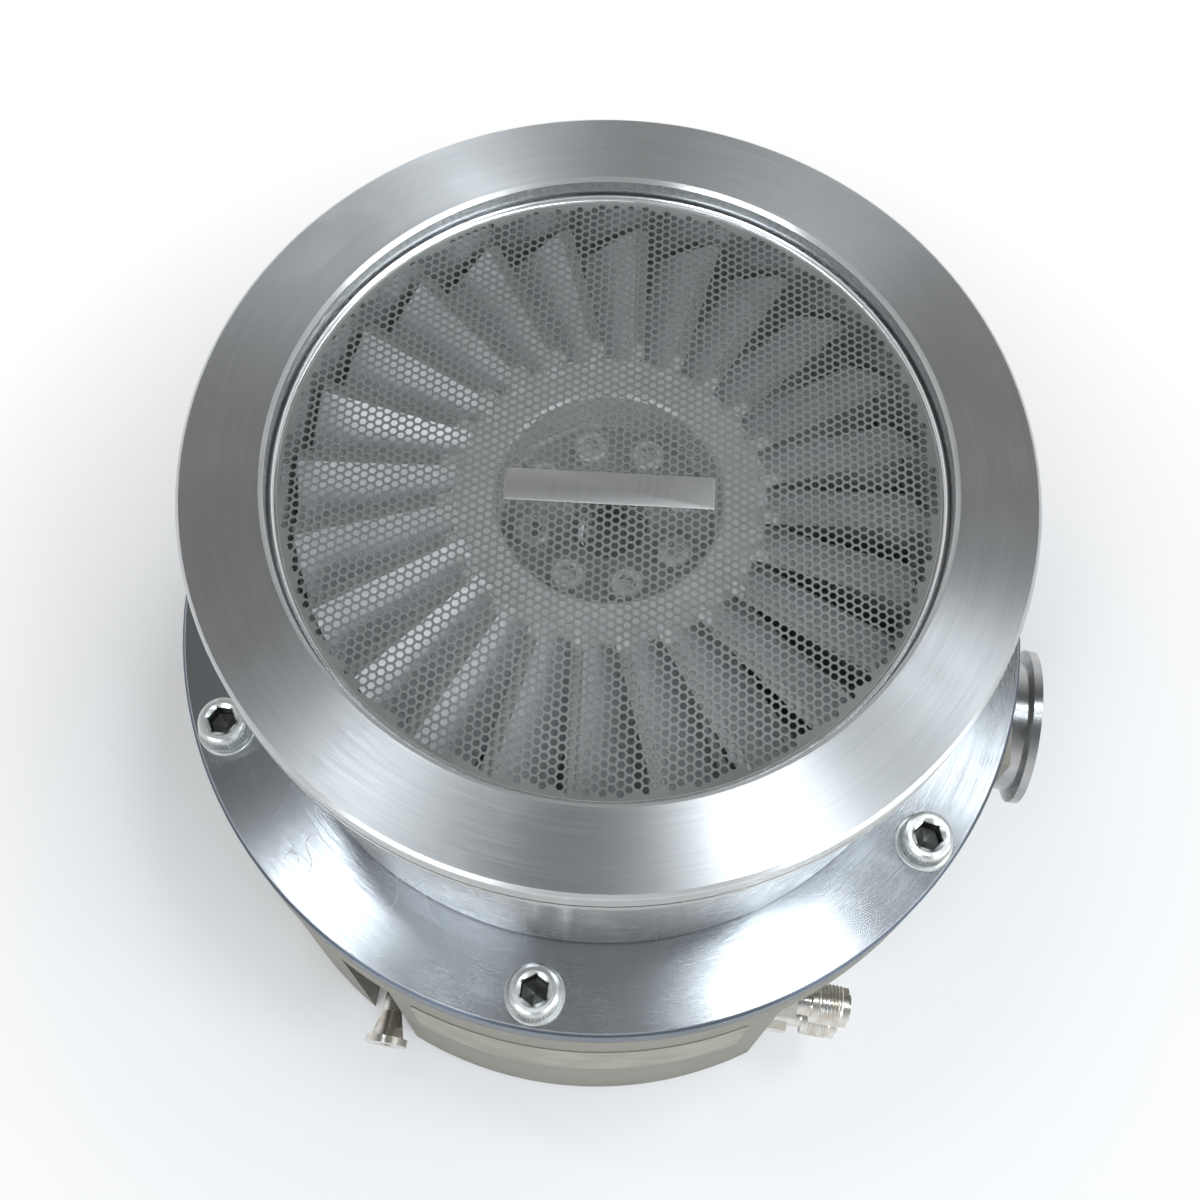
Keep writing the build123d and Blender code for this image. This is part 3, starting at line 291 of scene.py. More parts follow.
def turned_aluminium():
    """The casing: brushed inlet face, brighter neck, a painted bluish reflection on the lower flange, painted
    dark reflections on the flange sides.
    """
    material, place = begin("turned_aluminium", Metallic=1.0, Anisotropic=0.95, Anisotropic_Rotation=0.25)
    radius, _, z = round_the_axis(place)
    rings = lathe_lines(place, 0.35, 7.0)
    wide_rings = lathe_lines(place, 0.9, 1.2)
    inlet_face = fade(z, inlet_z - 1.6, inlet_z - 0.4)
    lower_flange = fade(z, flange_z + 1.5, flange_z - 0.5)
    # Painted bluish reflection: the lower flange gets a bluer copy of the same metal.
    colour = tint(lower_flange, rgb(0.76, 0.775, 0.785), rgb(0.66, 0.70, 0.745))
    colour = tint(rings * wide_rings * 1.6, colour, rgb(0.76, 0.77, 0.78), "MULTIPLY")
    # Painted dark reflections on the turned sides of both flanges, not a darker metal.
    lower_side_painted_reflection = lower_flange * fade(radius, joint_radius - 1.1, joint_radius - 0.7)
    inlet_side_painted_reflection = (1 - lower_flange) * fade(z, inlet_z - 2.0, inlet_z - 2.4) * fade(
        radius, INLET_RADIUS - 2.0, INLET_RADIUS - 1.6)
    colour = tint(lower_side_painted_reflection * 0.9, colour, rgb(0.06, 0.085, 0.125))
    colour = tint(inlet_side_painted_reflection * 0.5, colour, rgb(0.34, 0.33, 0.31))
    smudge = fade(mottle(place, 26.0, 4.0), 0.50, 0.72)
    roughness = (0.17 + inlet_face * 0.10 + rings * 0.14 + smudge * 0.05
                 + scuffs(place, 9.0, 0.07) * (1 - inlet_face))
    height = rings * 0.7 + wide_rings * 0.3
    return feed(material, Base_Color=colour, Roughness=roughness, Normal=relief(height, 0.00002, 0.7))


casing_finish = turned_aluminium()
print("nodes in the turned finish:", len(casing_finish.node_tree.nodes))

# %% [markdown]
# ## The other metals
#
# Not every metal here was turned. Blades are milled, the base is cast, the screen is punched sheet,
# and the screws are bought in stainless steel. They differ in colour, in how sharp their reflections
# are, and in what the tool left behind. Most need only tool marks and some staining, so one helper
# makes them all: its marks run round the axis as a lathe's do, or along a piece that was drawn.


# %% Milled, ground and plain metals
MARK_TINT = rgb(0.90, 0.90, 0.91)  # tool marks multiply the metal's colour by this


def drawn_lines(place, per_mm):
    """Marks that run along Y, as many to a millimetre as asked, such as rolling leaves."""
    x, y, z = axes(place)
    return place.node("ShaderNodeTexNoise", {"noise_dimensions": "3D"}, {
        "Vector": vector(x * per_mm, y * 0.08, z * per_mm), "Scale": 1.0, "Detail": 2.0})


def milled(name, colour, dark, rough, pitch=0.9, stain=18.0, along=False, shine=1.0):
    """Tool marks, a little staining, and a roughness that follows both."""
    material, place = begin(name, Metallic=shine)
    marks = drawn_lines(place, 1 / pitch) if along else lathe_lines(place, pitch)
    stains = fade(mottle(place, stain, 4.0), 0.42, 0.75)
    base = tint(stains, rgb(*colour), rgb(*dark))
    base = tint(marks, base, MARK_TINT, "MULTIPLY")
    return feed(material, Base_Color=base, Roughness=rough + marks * 0.12 + stains * 0.10,
                Normal=relief(marks, 0.00001, 0.7))


print("helper for plain metals ready")

# %% [markdown]
# The base is a casting that was blasted with fine beads, so it has no shine, only small pits and a
# grain. Real pits could be cut into the mesh, but they are no deeper than a hair is thick, and a bump
# that only bends the light costs nothing. Dirt gathers towards its foot. Its two sealing faces are
# machined bare again, which the material finds by their heights.


# %% The cast base
def cast_base():
    """Bead-blasted casting: matte, olive grey, with faint pits, and machined where it is sealed."""
    material, place = begin("cast_base")
    z = axes(place)[2]
    grain = mottle(place, 0.45, 2.0)
    pits = fade(mottle(place, 1.9, 2.0), 0.60, 0.74)
    cloud = mottle(place, 38.0, 4.0)
    joint_face, foot = fade(z, joint_z - 0.6, joint_z - 0.2), fade(z, 0.4, 0.1)
    machined = z.sum("MAXIMUM", joint_face, foot)
    colour = tint(cloud, rgb(0.20, 0.19, 0.16), rgb(0.255, 0.245, 0.21))
    colour = tint(pits * 0.5, colour, rgb(0.20, 0.19, 0.17))
    grime = fade(z, 26.0, 2.0) * fade(mottle(place, 14.0, 4.0), 0.42, 0.70)
    colour = tint(grime * 0.45, colour, rgb(0.15, 0.14, 0.12))
    metallic = 0.35 + machined * 0.65
    roughness = 0.50 + grain * 0.16 + grime * 0.12 - machined * 0.26
    return feed(material, Base_Color=colour, Metallic=metallic, Roughness=roughness,
                Normal=relief(grain * 0.7 - pits * 0.6, 0.00006, 0.7))


cast_finish = cast_base()
print("nodes in the cast finish:", len(cast_finish.node_tree.nodes))

# %% [markdown]
# The screen is rolled stainless sheet, and years in a dusty inlet have made it dull. Its rim is
# turned up and gets a painted highlight: near white, more metallic and smoother. A second material on
# the rim would need its own faces, and a mask by radius does the same.

# %% The screen's sheet steel
# Where the painted highlight on the screen's rim starts.
RIM_HIGHLIGHT_FROM = box_mm("inlet_screen")[1].x - 1.6


def punched_steel():
    """Dull stainless sheet whose turned-up rim gets a painted highlight, more metal and less roughness."""
    material, place = begin("punched_steel")
    rolled = drawn_lines(place, 0.45)
    stains = fade(mottle(place, 24.0, 4.0), 0.42, 0.75)
    rim_highlight = fade(round_the_axis(place)[0], RIM_HIGHLIGHT_FROM - 0.3, RIM_HIGHLIGHT_FROM)
    colour = tint(stains, rgb(0.27, 0.28, 0.265), rgb(0.21, 0.22, 0.205))
    colour = tint(rolled * 0.7, colour, MARK_TINT, "MULTIPLY")
    # Painted highlight: the rim turns nearly white.
    colour = tint(rim_highlight, colour, rgb(0.88, 0.89, 0.90))
    return feed(material, Base_Color=colour, Metallic=0.6 + rim_highlight * 0.4,
                Roughness=0.44 + rolled * 0.12 + stains * 0.08 - rim_highlight * 0.30,
                Normal=relief(rolled, 0.000006, 0.7))


screen_finish = punched_steel()
print("screen's bright rim starts at", round(RIM_HIGHLIGHT_FROM, 1), "mm")

# %% [markdown]
# The rotor was turned first and then milled between its blades. Each blade's slanted face is painted
# near white, which stands in for the light that the screen above holds back, and its top edge gets
# painted shade. The edges could be picked out as faces of their own. The material instead asks which
# way the surface looks: what looks straight up, out beyond the hub, is an edge. The dish in the hub,
# a recess, gets painted shade too.

# %% The rotor's milled aluminium
HUB_RING_R = 49.0  # where the hub ends and the blades begin
HUB_DISH_R = 31.5  # the recess with the screws


def milled_rotor():
    """Blade faces painted near white, with painted shade on the upward-facing edges and in the hub's dish."""
    material, place = begin("milled_rotor")
    radius = round_the_axis(place)[0]
    marks = lathe_lines(place, 0.8)
    stains = fade(mottle(place, 18.0, 4.0), 0.42, 0.75)
    blade = fade(radius, HUB_RING_R - 1.0, HUB_RING_R + 1.0)
    # Mask for the hub's recessed dish, which gets painted shade.
    dish_painted_shade = fade(radius, HUB_DISH_R + 1.0, HUB_DISH_R)
    facing_up = axes(place.node("ShaderNodeNewGeometry", out="Normal"))[2]
    # Surfaces facing straight up, out on the blades, get painted shade, chosen by the normal.
    edge = fade(facing_up, 0.90, 0.98) * blade
    # Blade faces are painted near white, to stand in for the light that the screen holds back.
    colour = tint(stains, rgb(0.96, 0.98, 1.0), rgb(0.88, 0.91, 0.93))
    colour = tint(edge, colour, rgb(0.44, 0.46, 0.46))
    colour = tint(1 - blade, colour, rgb(0.80, 0.83, 0.83))
    # Painted shade in the hub's dish.
    colour = tint(dish_painted_shade, colour, rgb(0.46, 0.47, 0.46))
    colour = tint(marks * 0.6, colour, MARK_TINT, "MULTIPLY")
    return feed(material, Base_Color=colour, Metallic=0.30 + blade * 0.10,
                Roughness=0.30 + marks * 0.10, Normal=relief(marks, 0.00001, 0.7))


rotor_finish = milled_rotor()
print("nodes in the rotor's finish:", len(rotor_finish.node_tree.nodes))

# %% [markdown]
# Screws come bright, and each hexagonal socket gets painted shade, near black down in the well. Six
# screws stand evenly round the casing, so the material folds the whole circle into one sixth of it
# with the FRACT operation. One dark spot of painted shade, placed once, then lies in every socket.

# %% Stainless screws
SCREW_COUNT = 6
WELL_R = 4.7  # the hexagonal well, from the screw's axis to its corners


def stainless_screws():
    """Bright stainless, with painted shade down in the sockets of the casing's screws."""
    material, place = begin("stainless_screws", Metallic=1.0)
    radius, angle, z = round_the_axis(place)
    marks = lathe_lines(place, 0.5)
    stains = fade(mottle(place, 3.5, 4.0), 0.42, 0.75)
    turn = angle * (SCREW_COUNT / (2 * pi))
    along = radius * (turn.sum("FRACT", turn) - 0.5) * (2 * pi / SCREW_COUNT)
    across = radius - SCREW_CIRCLE
    below_top = fade(z, screws_high.z - 0.6, screws_high.z - 2.0)
    # Mask of the hexagonal wells, where the shade is painted.
    socket = fade((along * along + across * across) ** 0.5, WELL_R + 0.3, WELL_R) * below_top
    colour = tint(stains, rgb(0.68, 0.70, 0.69), rgb(0.50, 0.51, 0.50))
    colour = tint(marks, colour, MARK_TINT, "MULTIPLY")
    # Painted shade: near black down in each socket.
    colour = tint(socket * 0.9, colour, rgb(0.07, 0.075, 0.065))
    return feed(material, Base_Color=colour, Roughness=0.24 + marks * 0.12 + stains * 0.10,
                Normal=relief(marks, 0.00001, 0.7))


screw_finish = stainless_screws()
print("nodes in the screws' finish:", len(screw_finish.node_tree.nodes))

# %% [markdown]
# The rest are plain metals, so a line of numbers says what each is like: its colour, its stained
# colour, its roughness and how fine its tool marks are. The names on the left are the ones that the
# nodes are dressed by.

# %% The list of metal finishes
FINISH = {
    "casing": casing_finish,
    "base": cast_finish,
    "cover": milled("faced_cover", (0.62, 0.62, 0.62), (0.46, 0.46, 0.46), 0.34, pitch=0.7),
    "rotor": rotor_finish,
    "stator": milled("stator_blades", (0.66, 0.66, 0.65), (0.50, 0.50, 0.49), 0.36, pitch=0.6),
    "spacer": milled("turned_spacers", (0.62, 0.63, 0.64), (0.48, 0.48, 0.49), 0.30, pitch=0.5),
    "column": milled("turned_column", (0.58, 0.58, 0.58), (0.42, 0.42, 0.42), 0.36, pitch=0.6),
    "screen": screen_finish,
    "screw": screw_finish,
    # The hub's screws get a brighter, less metallic copy of the screw steel: a painted highlight for glints.
    "hub_screw": milled("hub_screws_painted_bright", (0.88, 0.89, 0.88), (0.74, 0.75, 0.74), 0.40, pitch=0.5, shine=0.6),
    "shaft": milled("ground_steel", (0.56, 0.56, 0.57), (0.44, 0.44, 0.45), 0.16, pitch=0.25),
    "balls": milled("bearing_steel", (0.62, 0.61, 0.60), (0.50, 0.49, 0.48), 0.10, pitch=0.4),
    "port": milled("polished_port", (0.50, 0.51, 0.52), (0.36, 0.37, 0.37), 0.15, pitch=0.4, along=True),
    "nickel": milled("nickel_plate", (0.80, 0.79, 0.76), (0.60, 0.54, 0.42), 0.22, pitch=0.5, stain=4.0,
                     along=True),
}
print("metal finishes:", sorted(FINISH))

# %% [markdown]
# ## Rubber, copper, laminations and resin
#
# Inside the pump are seals, coils and stacks of thin iron sheets. They show only when the pump is
# opened, but a reusable part deserves them too. Windings could be modelled wire by wire, at the cost
# of a million faces. A sine of the height makes light and dark stripes instead: one for each wire in
# the copper, and for each sheet in the stacks.


# %% Inner finishes
def stripes(height, width):
    """Light and dark stripes in turn, each width millimetres wide."""
    phase = height * (pi / width)
    return phase.sum("SINE", phase) * 0.5 + 0.5


def seal_rubber():
    """Black rubber with some dust on it."""
    material, place = begin("seal_rubber", Specular_IOR_Level=0.35)
    dust = fade(mottle(place, 3.0, 4.0), 0.50, 0.75)
    return feed(material, Base_Color=tint(dust, rgb(0.018, 0.018, 0.020), rgb(0.07, 0.07, 0.068)),
                Roughness=0.46 + dust * 0.24, Normal=relief(mottle(place, 0.3, 1.0), 0.00002, 0.5))


def enamelled_copper():
    """Wound wire under a coat of enamel."""
    material, place = begin("enamelled_copper", Metallic=0.85, Coat_Roughness=0.15)
    wires = stripes(axes(place)[2], 0.42)
    shade = tint(mottle(place, 6.0, 2.0), rgb(0.42, 0.14, 0.05), rgb(0.62, 0.25, 0.10))
    return feed(material, Base_Color=tint(wires, rgb(0.10, 0.03, 0.015), shade),
                Roughness=0.34 - wires * 0.10, Coat_Weight=wires * 0.6, Normal=relief(wires, 0.00012, 0.8))


def iron_laminations():
    """A stack of thin iron sheets with a slight heat tint."""
    material, place = begin("iron_laminations", Metallic=0.9)
    sheets = stripes(axes(place)[2], 0.35)
    heat = mottle(place, 9.0, 3.0)
    colour = tint(heat, rgb(0.20, 0.21, 0.24), rgb(0.31, 0.30, 0.30))
    return feed(material, Base_Color=tint(sheets, rgb(0.07, 0.07, 0.08), colour),
                Roughness=0.50 - sheets * 0.14, Normal=relief(sheets, 0.00006, 0.7))


def carbon_band():
    """Carbon fibre wound round the motor's magnet, which holds it together at speed."""
    material, place = begin("carbon_band", Coat_Roughness=0.12)
    radius, angle, z = round_the_axis(place)
    tows = mottle(vector(z * 2.2, angle * 4.0, radius * 0.2), 1.0, 3.0)
    return feed(material, Base_Color=tint(tows, rgb(0.012, 0.012, 0.014), rgb(0.06, 0.06, 0.065)),
                Roughness=0.30 + tows * 0.20, Coat_Weight=tows * 0.4 + 0.3,
                Normal=relief(tows, 0.00003, 0.6))


def potting_resin():
    """Green resin, cast round the sensors."""
    material, place = begin("potting_resin", Specular_IOR_Level=0.5)
    flow = mottle(place, 2.5, 3.0)
    return feed(material, Base_Color=tint(flow, rgb(0.045, 0.10, 0.055), rgb(0.075, 0.15, 0.085)),
                Roughness=0.28 + flow * 0.16, Normal=relief(flow, 0.00005, 0.5))


FINISH.update(rubber=seal_rubber(), copper=enamelled_copper(), iron=iron_laminations(),
              carbon=carbon_band(), resin=potting_resin())
print("finishes so far:", len(FINISH))

# %% [markdown]
# The electrical socket is one solid with a dark shell, a moulded insert and gilded contacts. Where a
# point lies, measured from the socket's own axis, says which of the three it is. That saves cutting
# the solid into three pieces.


# %% The socket's finish
socket_low, socket_high = box_mm("electrical_socket")
socket_x = (socket_low.x + socket_high.x) / 2
socket_z = (socket_low.z + socket_high.z) / 2
insert_y = socket_high.y - 11.0  # the moulded insert lies this far down in the shell
SHELL_INNER = 18.4
CONTACTS_R = 15.0  # all contacts lie within this distance of the axis


def socket_finish():
    """A dark shell, a black insert and gilded contacts."""
    material, place = begin("socket_shell", Coat_Roughness=0.25)
    x, y, z = axes(place)
    across, rise = x - socket_x, z - socket_z
    away = (across * across + rise * rise) ** 0.5
    in_the_shell = fade(away, SHELL_INNER + 0.15, SHELL_INNER - 0.15)
    inside = in_the_shell * fade(y, insert_y - 1.0, insert_y - 0.6)
    stands_out = fade(y, insert_y + 0.1, insert_y + 0.4)
    contact = inside * stands_out * fade(away, CONTACTS_R + 0.5, CONTACTS_R)
    grain = mottle(place, 0.35, 2.0)
    rub = fade(mottle(place, 5.0, 4.0), 0.55, 0.78)
    shell = tint(rub * 0.6, rgb(0.17, 0.175, 0.18), rgb(0.36, 0.36, 0.36))
    colour = tint(contact, tint(inside, shell, rgb(0.035, 0.035, 0.038)), rgb(0.80, 0.56, 0.20))
    metallic = contact.sum("MAXIMUM", contact, 0.75 - inside * 0.75)
    return feed(material, Base_Color=colour, Metallic=metallic,
                Roughness=0.38 + grain * 0.10 - contact * 0.16, Normal=relief(grain, 0.00002, 0.5))


FINISH["socket"] = socket_finish()
print("socket axis at", round(socket_x, 1), round(socket_z, 1))

# %% [markdown]
# ## Giving each CAD node its finish
#
# A list says which node is made of what. Names that start alike mostly share a finish, so the list
# matches on the start of a name, and the first match counts. Longer names therefore come before the
# shorter ones that they begin with.

# %% Dress the nodes
WEARS = [
    ("casing_screws", "screw"), ("casing_sealing_ring", "rubber"), ("casing", "casing"),
    ("bottom_cover_screws", "screw"), ("bottom_cover_sealing_ring", "rubber"), ("bottom_cover", "cover"),
    ("exhaust_sealing_ring", "rubber"), ("exhaust_port", "port"), ("purge_port", "nickel"),
    ("water_", "nickel"), ("electrical_socket", "socket"), ("socket_screws", "screw"),
    ("rotor_screws", "hub_screw"), ("rotor", "rotor"), ("shaft", "shaft"), ("stator_disc", "stator"),
    ("spacer_ring", "spacer"), ("drag_stator", "spacer"), ("column_screws", "screw"),
    ("carrier_screws", "screw"), ("bearing_column", "column"), ("upper_bearing_carrier", "column"),
    ("inlet_screen", "screen"), ("base", "base"), ("motor_magnet", "carbon"), ("motor_core", "iron"),
    ("motor_coils", "copper"), ("axial_bearing_disc", "shaft"), ("axial_sensor", "resin"),
    ("upper_bearing_core", "iron"), ("lower_bearing_core", "iron"), ("upper_bearing_coils", "copper"),
    ("lower_bearing_coils", "copper"), ("upper_bearing_sleeve", "shaft"), ("lower_bearing_sleeve", "shaft"),
    ("upper_radial_sensor", "resin"), ("lower_radial_sensor", "resin"), ("upper_axial_magnet", "iron"),
    ("lower_axial_magnet", "iron"), ("upper_touchdown_ball_ring", "balls"),
    ("lower_touchdown_ball_ring", "balls"), ("upper_touchdown", "shaft"), ("lower_touchdown", "shaft"),
]
for name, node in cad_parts.items():
    finish = FINISH[next(wear for start, wear in WEARS if name.startswith(start))]
    if not node.material_slots:
        node.data.materials.append(finish)
    for slot in node.material_slots:
        slot.material = finish
print("nodes dressed:", len(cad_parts))

# %% [markdown]
# ## Tools for adding pieces
#
# New pieces are drawn with bmesh, Blender's mesh editor in code, in millimetres. Blender's own Screw
# and Solidify modifiers could make some of them, but loops of corners joined by faces make them all.
# So one helper lays a round loop and one joins two loops. Another spins a profile round an axis as a
# lathe does, and the last turns the finished drawing into a piece that rides on one of the bodies.


# %% Drawing helpers
def round_loop(form, radius, z, steps, seat=Matrix.Identity(4)):
    """A loop of corners round the seat's Z axis."""
    angles = [2 * pi * k / steps for k in range(steps)]
    return [form.verts.new(seat @ Vector((radius * cos(angle), radius * sin(angle), z))) for angle in angles]


def join(form, one, two):
    """Faces between two loops that have as many corners as each other."""
    for k in range(len(one)):
        after = (k + 1) % len(one)
        form.faces.new((one[k], one[after], two[after], two[k]))


def spin(form, profile, seat, steps):
    """Spins (radius, height) points, listed round a closed outline, about the seat's Z axis."""
    rings = [round_loop(form, radius, height, steps, seat) for radius, height in profile]
    for one, two in zip(rings, rings[1:] + rings[:1]):
        join(form, one, two)


def add_piece(name, form, finish, body="housing", sharp=32.0):
    """Makes the drawing a smooth-shaded piece in metres that rides on a body."""
    bmesh.ops.recalc_face_normals(form, faces=form.faces)
    mesh = bpy.data.meshes.new(name)
    form.to_mesh(mesh)
    form.free()
    mesh.transform(Matrix.Scale(0.001, 4))
    for face in mesh.polygons:
        face.use_smooth = True
    mesh.set_sharp_from_angle(angle=radians(sharp))
    mesh.materials.append(finish)
    piece = bpy.data.objects.new(name, mesh)
    bpy.context.scene.collection.objects.link(piece)
    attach(piece, body)
    print(f"{name}: {len(mesh.polygons)} faces")
    return piece


print("drawing helpers ready")

# %% [markdown]
# ## The inlet screen
#
# A thin steel sheet with thousands of small holes keeps dropped screws and swarf out of the blades.
# A picture of holes with transparency would look flat from the side. Boolean cuts of 4,000 holes
# would take minutes. Instead, every hole gets a hexagonal cell of its own, like honeycomb. Cells
# share their corners, so the sheet is one closed mesh, and only its ragged edge has to be filled out
# to a circle.

# %% Sheet sizes
screen_low, screen_high = box_mm("inlet_screen")
SHEET_R = screen_high.x
SHEET_TOP = screen_low.z + 1.2
SHEET_T = 0.3
HOLE_PITCH = 2.58
HOLE_AF = 1.88  # across the flats of a hole
HOLES_OUT_TO = 92.0
PLAIN_FROM = 93.5  # where the plain rim starts
LIP_T = 0.9
print(f"sheet radius {SHEET_R:.1f} mm, top at {SHEET_TOP:.1f} mm")


# %% Punch the sheet
def hole_centres():
    """Rows of holes at 60 degrees to each other, with one row running up the camera's view."""
    across, along = Vector((sqrt(3) / 2, 0.5)), Vector((0, 1))
    turned_by = Matrix.Rotation(VIEW_TURN, 2)
    reach = int(SHEET_R / HOLE_PITCH) * 2
    for i in range(-reach, reach + 1):
        for j in range(-reach, reach + 1):
            centre = turned_by @ ((across * i + along * j) * HOLE_PITCH)
            if centre.length < HOLES_OUT_TO:
                yield centre


def punched_sheet():
    """A drawing of one cell for each hole, how many there are, and the sheet's two heights."""
    form = bmesh.new()
    corner_at = {}
    corner_angles = [VIEW_TURN + radians(60 * k) for k in range(6)]
    cell_r = HOLE_PITCH / sqrt(3)
    hole_r = HOLE_AF / sqrt(3)

    def corner(point, z):
        """The corner of a cell, made once and then shared with its neighbours."""
        key = (round(point.x, 2), round(point.y, 2), z)
        if key not in corner_at:
            corner_at[key] = form.verts.new((point.x, point.y, z))
        return corner_at[key]

    heights = (SHEET_TOP, SHEET_TOP - SHEET_T)
    holes = 0
    for centre in hole_centres():
        holes += 1
        ways = [Vector((cos(angle), sin(angle))) for angle in corner_angles]
        walls = []
        for z in heights:
            outer = [corner(centre + way * cell_r, z) for way in ways]
            inner = [form.verts.new((*(centre + way * hole_r), z)) for way in ways]
            walls.append(inner)
            join(form, outer, inner)
        join(form, *walls)
    return form, holes, heights


sheet, hole_count, sheet_heights = punched_sheet()
print("holes:", hole_count)

# %% [markdown]
# The ragged edge of the honeycomb is a loop of open edges. A circle of new edges goes round it, and
# Blender's triangle fill closes the band between the two. Rings of faces then carry the sheet out
# to its rim, which turns up into a thin lip.


# %% Fill the sheet out to its rim
RIM_STEPS = 360
RAGGED = 4.0  # the honeycomb's edge strays in by less than this


def at_the_edge(vert, z):
    """True for a corner at height z that can lie on the honeycomb's ragged edge."""
    return abs(vert.co.z - z) < 1e-4 and vert.co.xy.length > HOLES_OUT_TO - RAGGED


def fill_to_circle(form, z):
    """Closes the band between the open edges at height z and a circle, and returns the circle."""
    ragged = [edge for edge in form.edges
              if edge.is_boundary and all(at_the_edge(vert, z) for vert in edge.verts)]
    circle = round_loop(form, PLAIN_FROM, z, RIM_STEPS)
    rim = [form.edges.new((circle[k], circle[(k + 1) % RIM_STEPS])) for k in range(RIM_STEPS)]
    bmesh.ops.triangle_fill(form, use_beauty=True, edges=ragged + rim)
    return circle


def finish_rim(form, circles, profile):
    """Joins the upper circle to the lower one through rings at the profile's points."""
    between = [round_loop(form, radius, height, RIM_STEPS) for radius, height in profile]
    rings = [circles[0], *between, circles[1]]
    for one, two in zip(rings, rings[1:]):
        join(form, one, two)


circles = [fill_to_circle(sheet, z) for z in sheet_heights]
lip_in = SHEET_R - LIP_T
lip_top = screen_high.z
finish_rim(sheet, circles, [
    (lip_in - 0.5, SHEET_TOP), (lip_in - 0.15, SHEET_TOP + 0.15), (lip_in, SHEET_TOP + 0.5),
    (lip_in, lip_top - 0.3), (lip_in + 0.3, lip_top), (SHEET_R - 0.3, lip_top), (SHEET_R, lip_top - 0.3),
    (SHEET_R, screen_low.z + 0.3), (SHEET_R - 0.3, screen_low.z), (lip_in - 1.5, screen_low.z),
    (lip_in - 2.0, SHEET_TOP - SHEET_T)])
open_edges = sum(edge.is_boundary for edge in sheet.edges)
screen_piece = add_piece("punched_screen", sheet, FINISH["screen"])
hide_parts("inlet_screen")
print("open edges left:", open_edges)

# %% [markdown]
# A small plain plate is fixed to the middle of the screen, where such pumps carry a badge. It is
# bare here. A cube with the Bevel modifier would do, but then all its edges would be round. This one
# is a rectangle with rounded corners, raised by loops that draw in a little at the top.


# %% The bare plate on the screen
def rounded_rectangle(width, height, corner, steps=6):
    """Points round a rectangle, with each corner an arc of that radius."""
    points = []
    for cx, cy, start in ((1, 1, 0), (-1, 1, 90), (-1, -1, 180), (1, -1, 270)):
        for k in range(steps + 1):
            angle = radians(start + 90 * k / steps)
            points.append((cx * (width / 2 - corner) + corner * cos(angle),
                           cy * (height / 2 - corner) + corner * sin(angle)))
    return points


EDGE_H = 0.12  # height of the stretch that draws in
EDGE_IN = 0.015  # how far it draws in, as a share of the plate's size


def raised_plate(form, outline, low, high, seat):
    """Raises an outline from low to high, and draws it in a little towards its upper edge."""
    levels = [(low, 1.0), (high - EDGE_H, 1.0), (high - EDGE_H * 0.3, 1 - EDGE_IN * 0.3), (high, 1 - EDGE_IN)]
    rings = [[form.verts.new(seat @ Vector((x * scale, y * scale, height))) for x, y in outline]
             for height, scale in levels]
    for one, two in zip(rings, rings[1:]):
        join(form, one, two)
    form.faces.new(list(reversed(rings[0])))
    form.faces.new(rings[-1])


PLATE_SIZE, PLATE_CORNER, PLATE_T = (59.5, 10.0), 0.8, 0.45
plate_seat = Matrix.Rotation(VIEW_TURN, 4, "Z") @ Matrix.Translation((0, -4.6, 0))
form = bmesh.new()
plate_outline = rounded_rectangle(*PLATE_SIZE, PLATE_CORNER)
raised_plate(form, plate_outline, SHEET_TOP, SHEET_TOP + PLATE_T, plate_seat)
plate_finish = milled("plate_steel", (0.56, 0.56, 0.55), (0.46, 0.46, 0.45), 0.34, pitch=0.6, along=True)
plate = add_piece("screen_plate", form, plate_finish)

# %% [markdown]
# ## Casing screws
#
# Six socket head screws hold the casing down. A bought screw has a knurled rim for the fingers, a
# chamfered edge, a deep hexagonal socket, and here a washer under its head. Boolean cuts could make
# the knurl and the socket, but loops of corners are surer: a round loop, a toothed loop and a
# hexagonal loop with as many corners each are joined one after the other, up the outside of the head
# and down into the socket. Every screw stops at its own angle, as tightened screws do.

# %% Screw places
KEY_TURN = 2.3  # turns each screw by this many times its angle round the casing
screw_angles = [radians(-90 + 360 / SCREW_COUNT * k) for k in range(SCREW_COUNT)]
screw_places = [Matrix.Translation((SCREW_CIRCLE * cos(angle), SCREW_CIRCLE * sin(angle), flange_z))
                @ Matrix.Rotation(angle * KEY_TURN, 4, "Z") for angle in screw_angles]
print("screws at", [round((angle * 180 / pi) % 360) for angle in screw_angles], "degrees")


# %% Draw a screw
SHANK_R = 4.9  # just under M10, so that the shank is clear of its hole
KEY_AF = 8.0  # the hexagon key's width across flats
KNURL_TEETH, KNURL_DEPTH = 48, 0.34
WASHER_T = 1.6


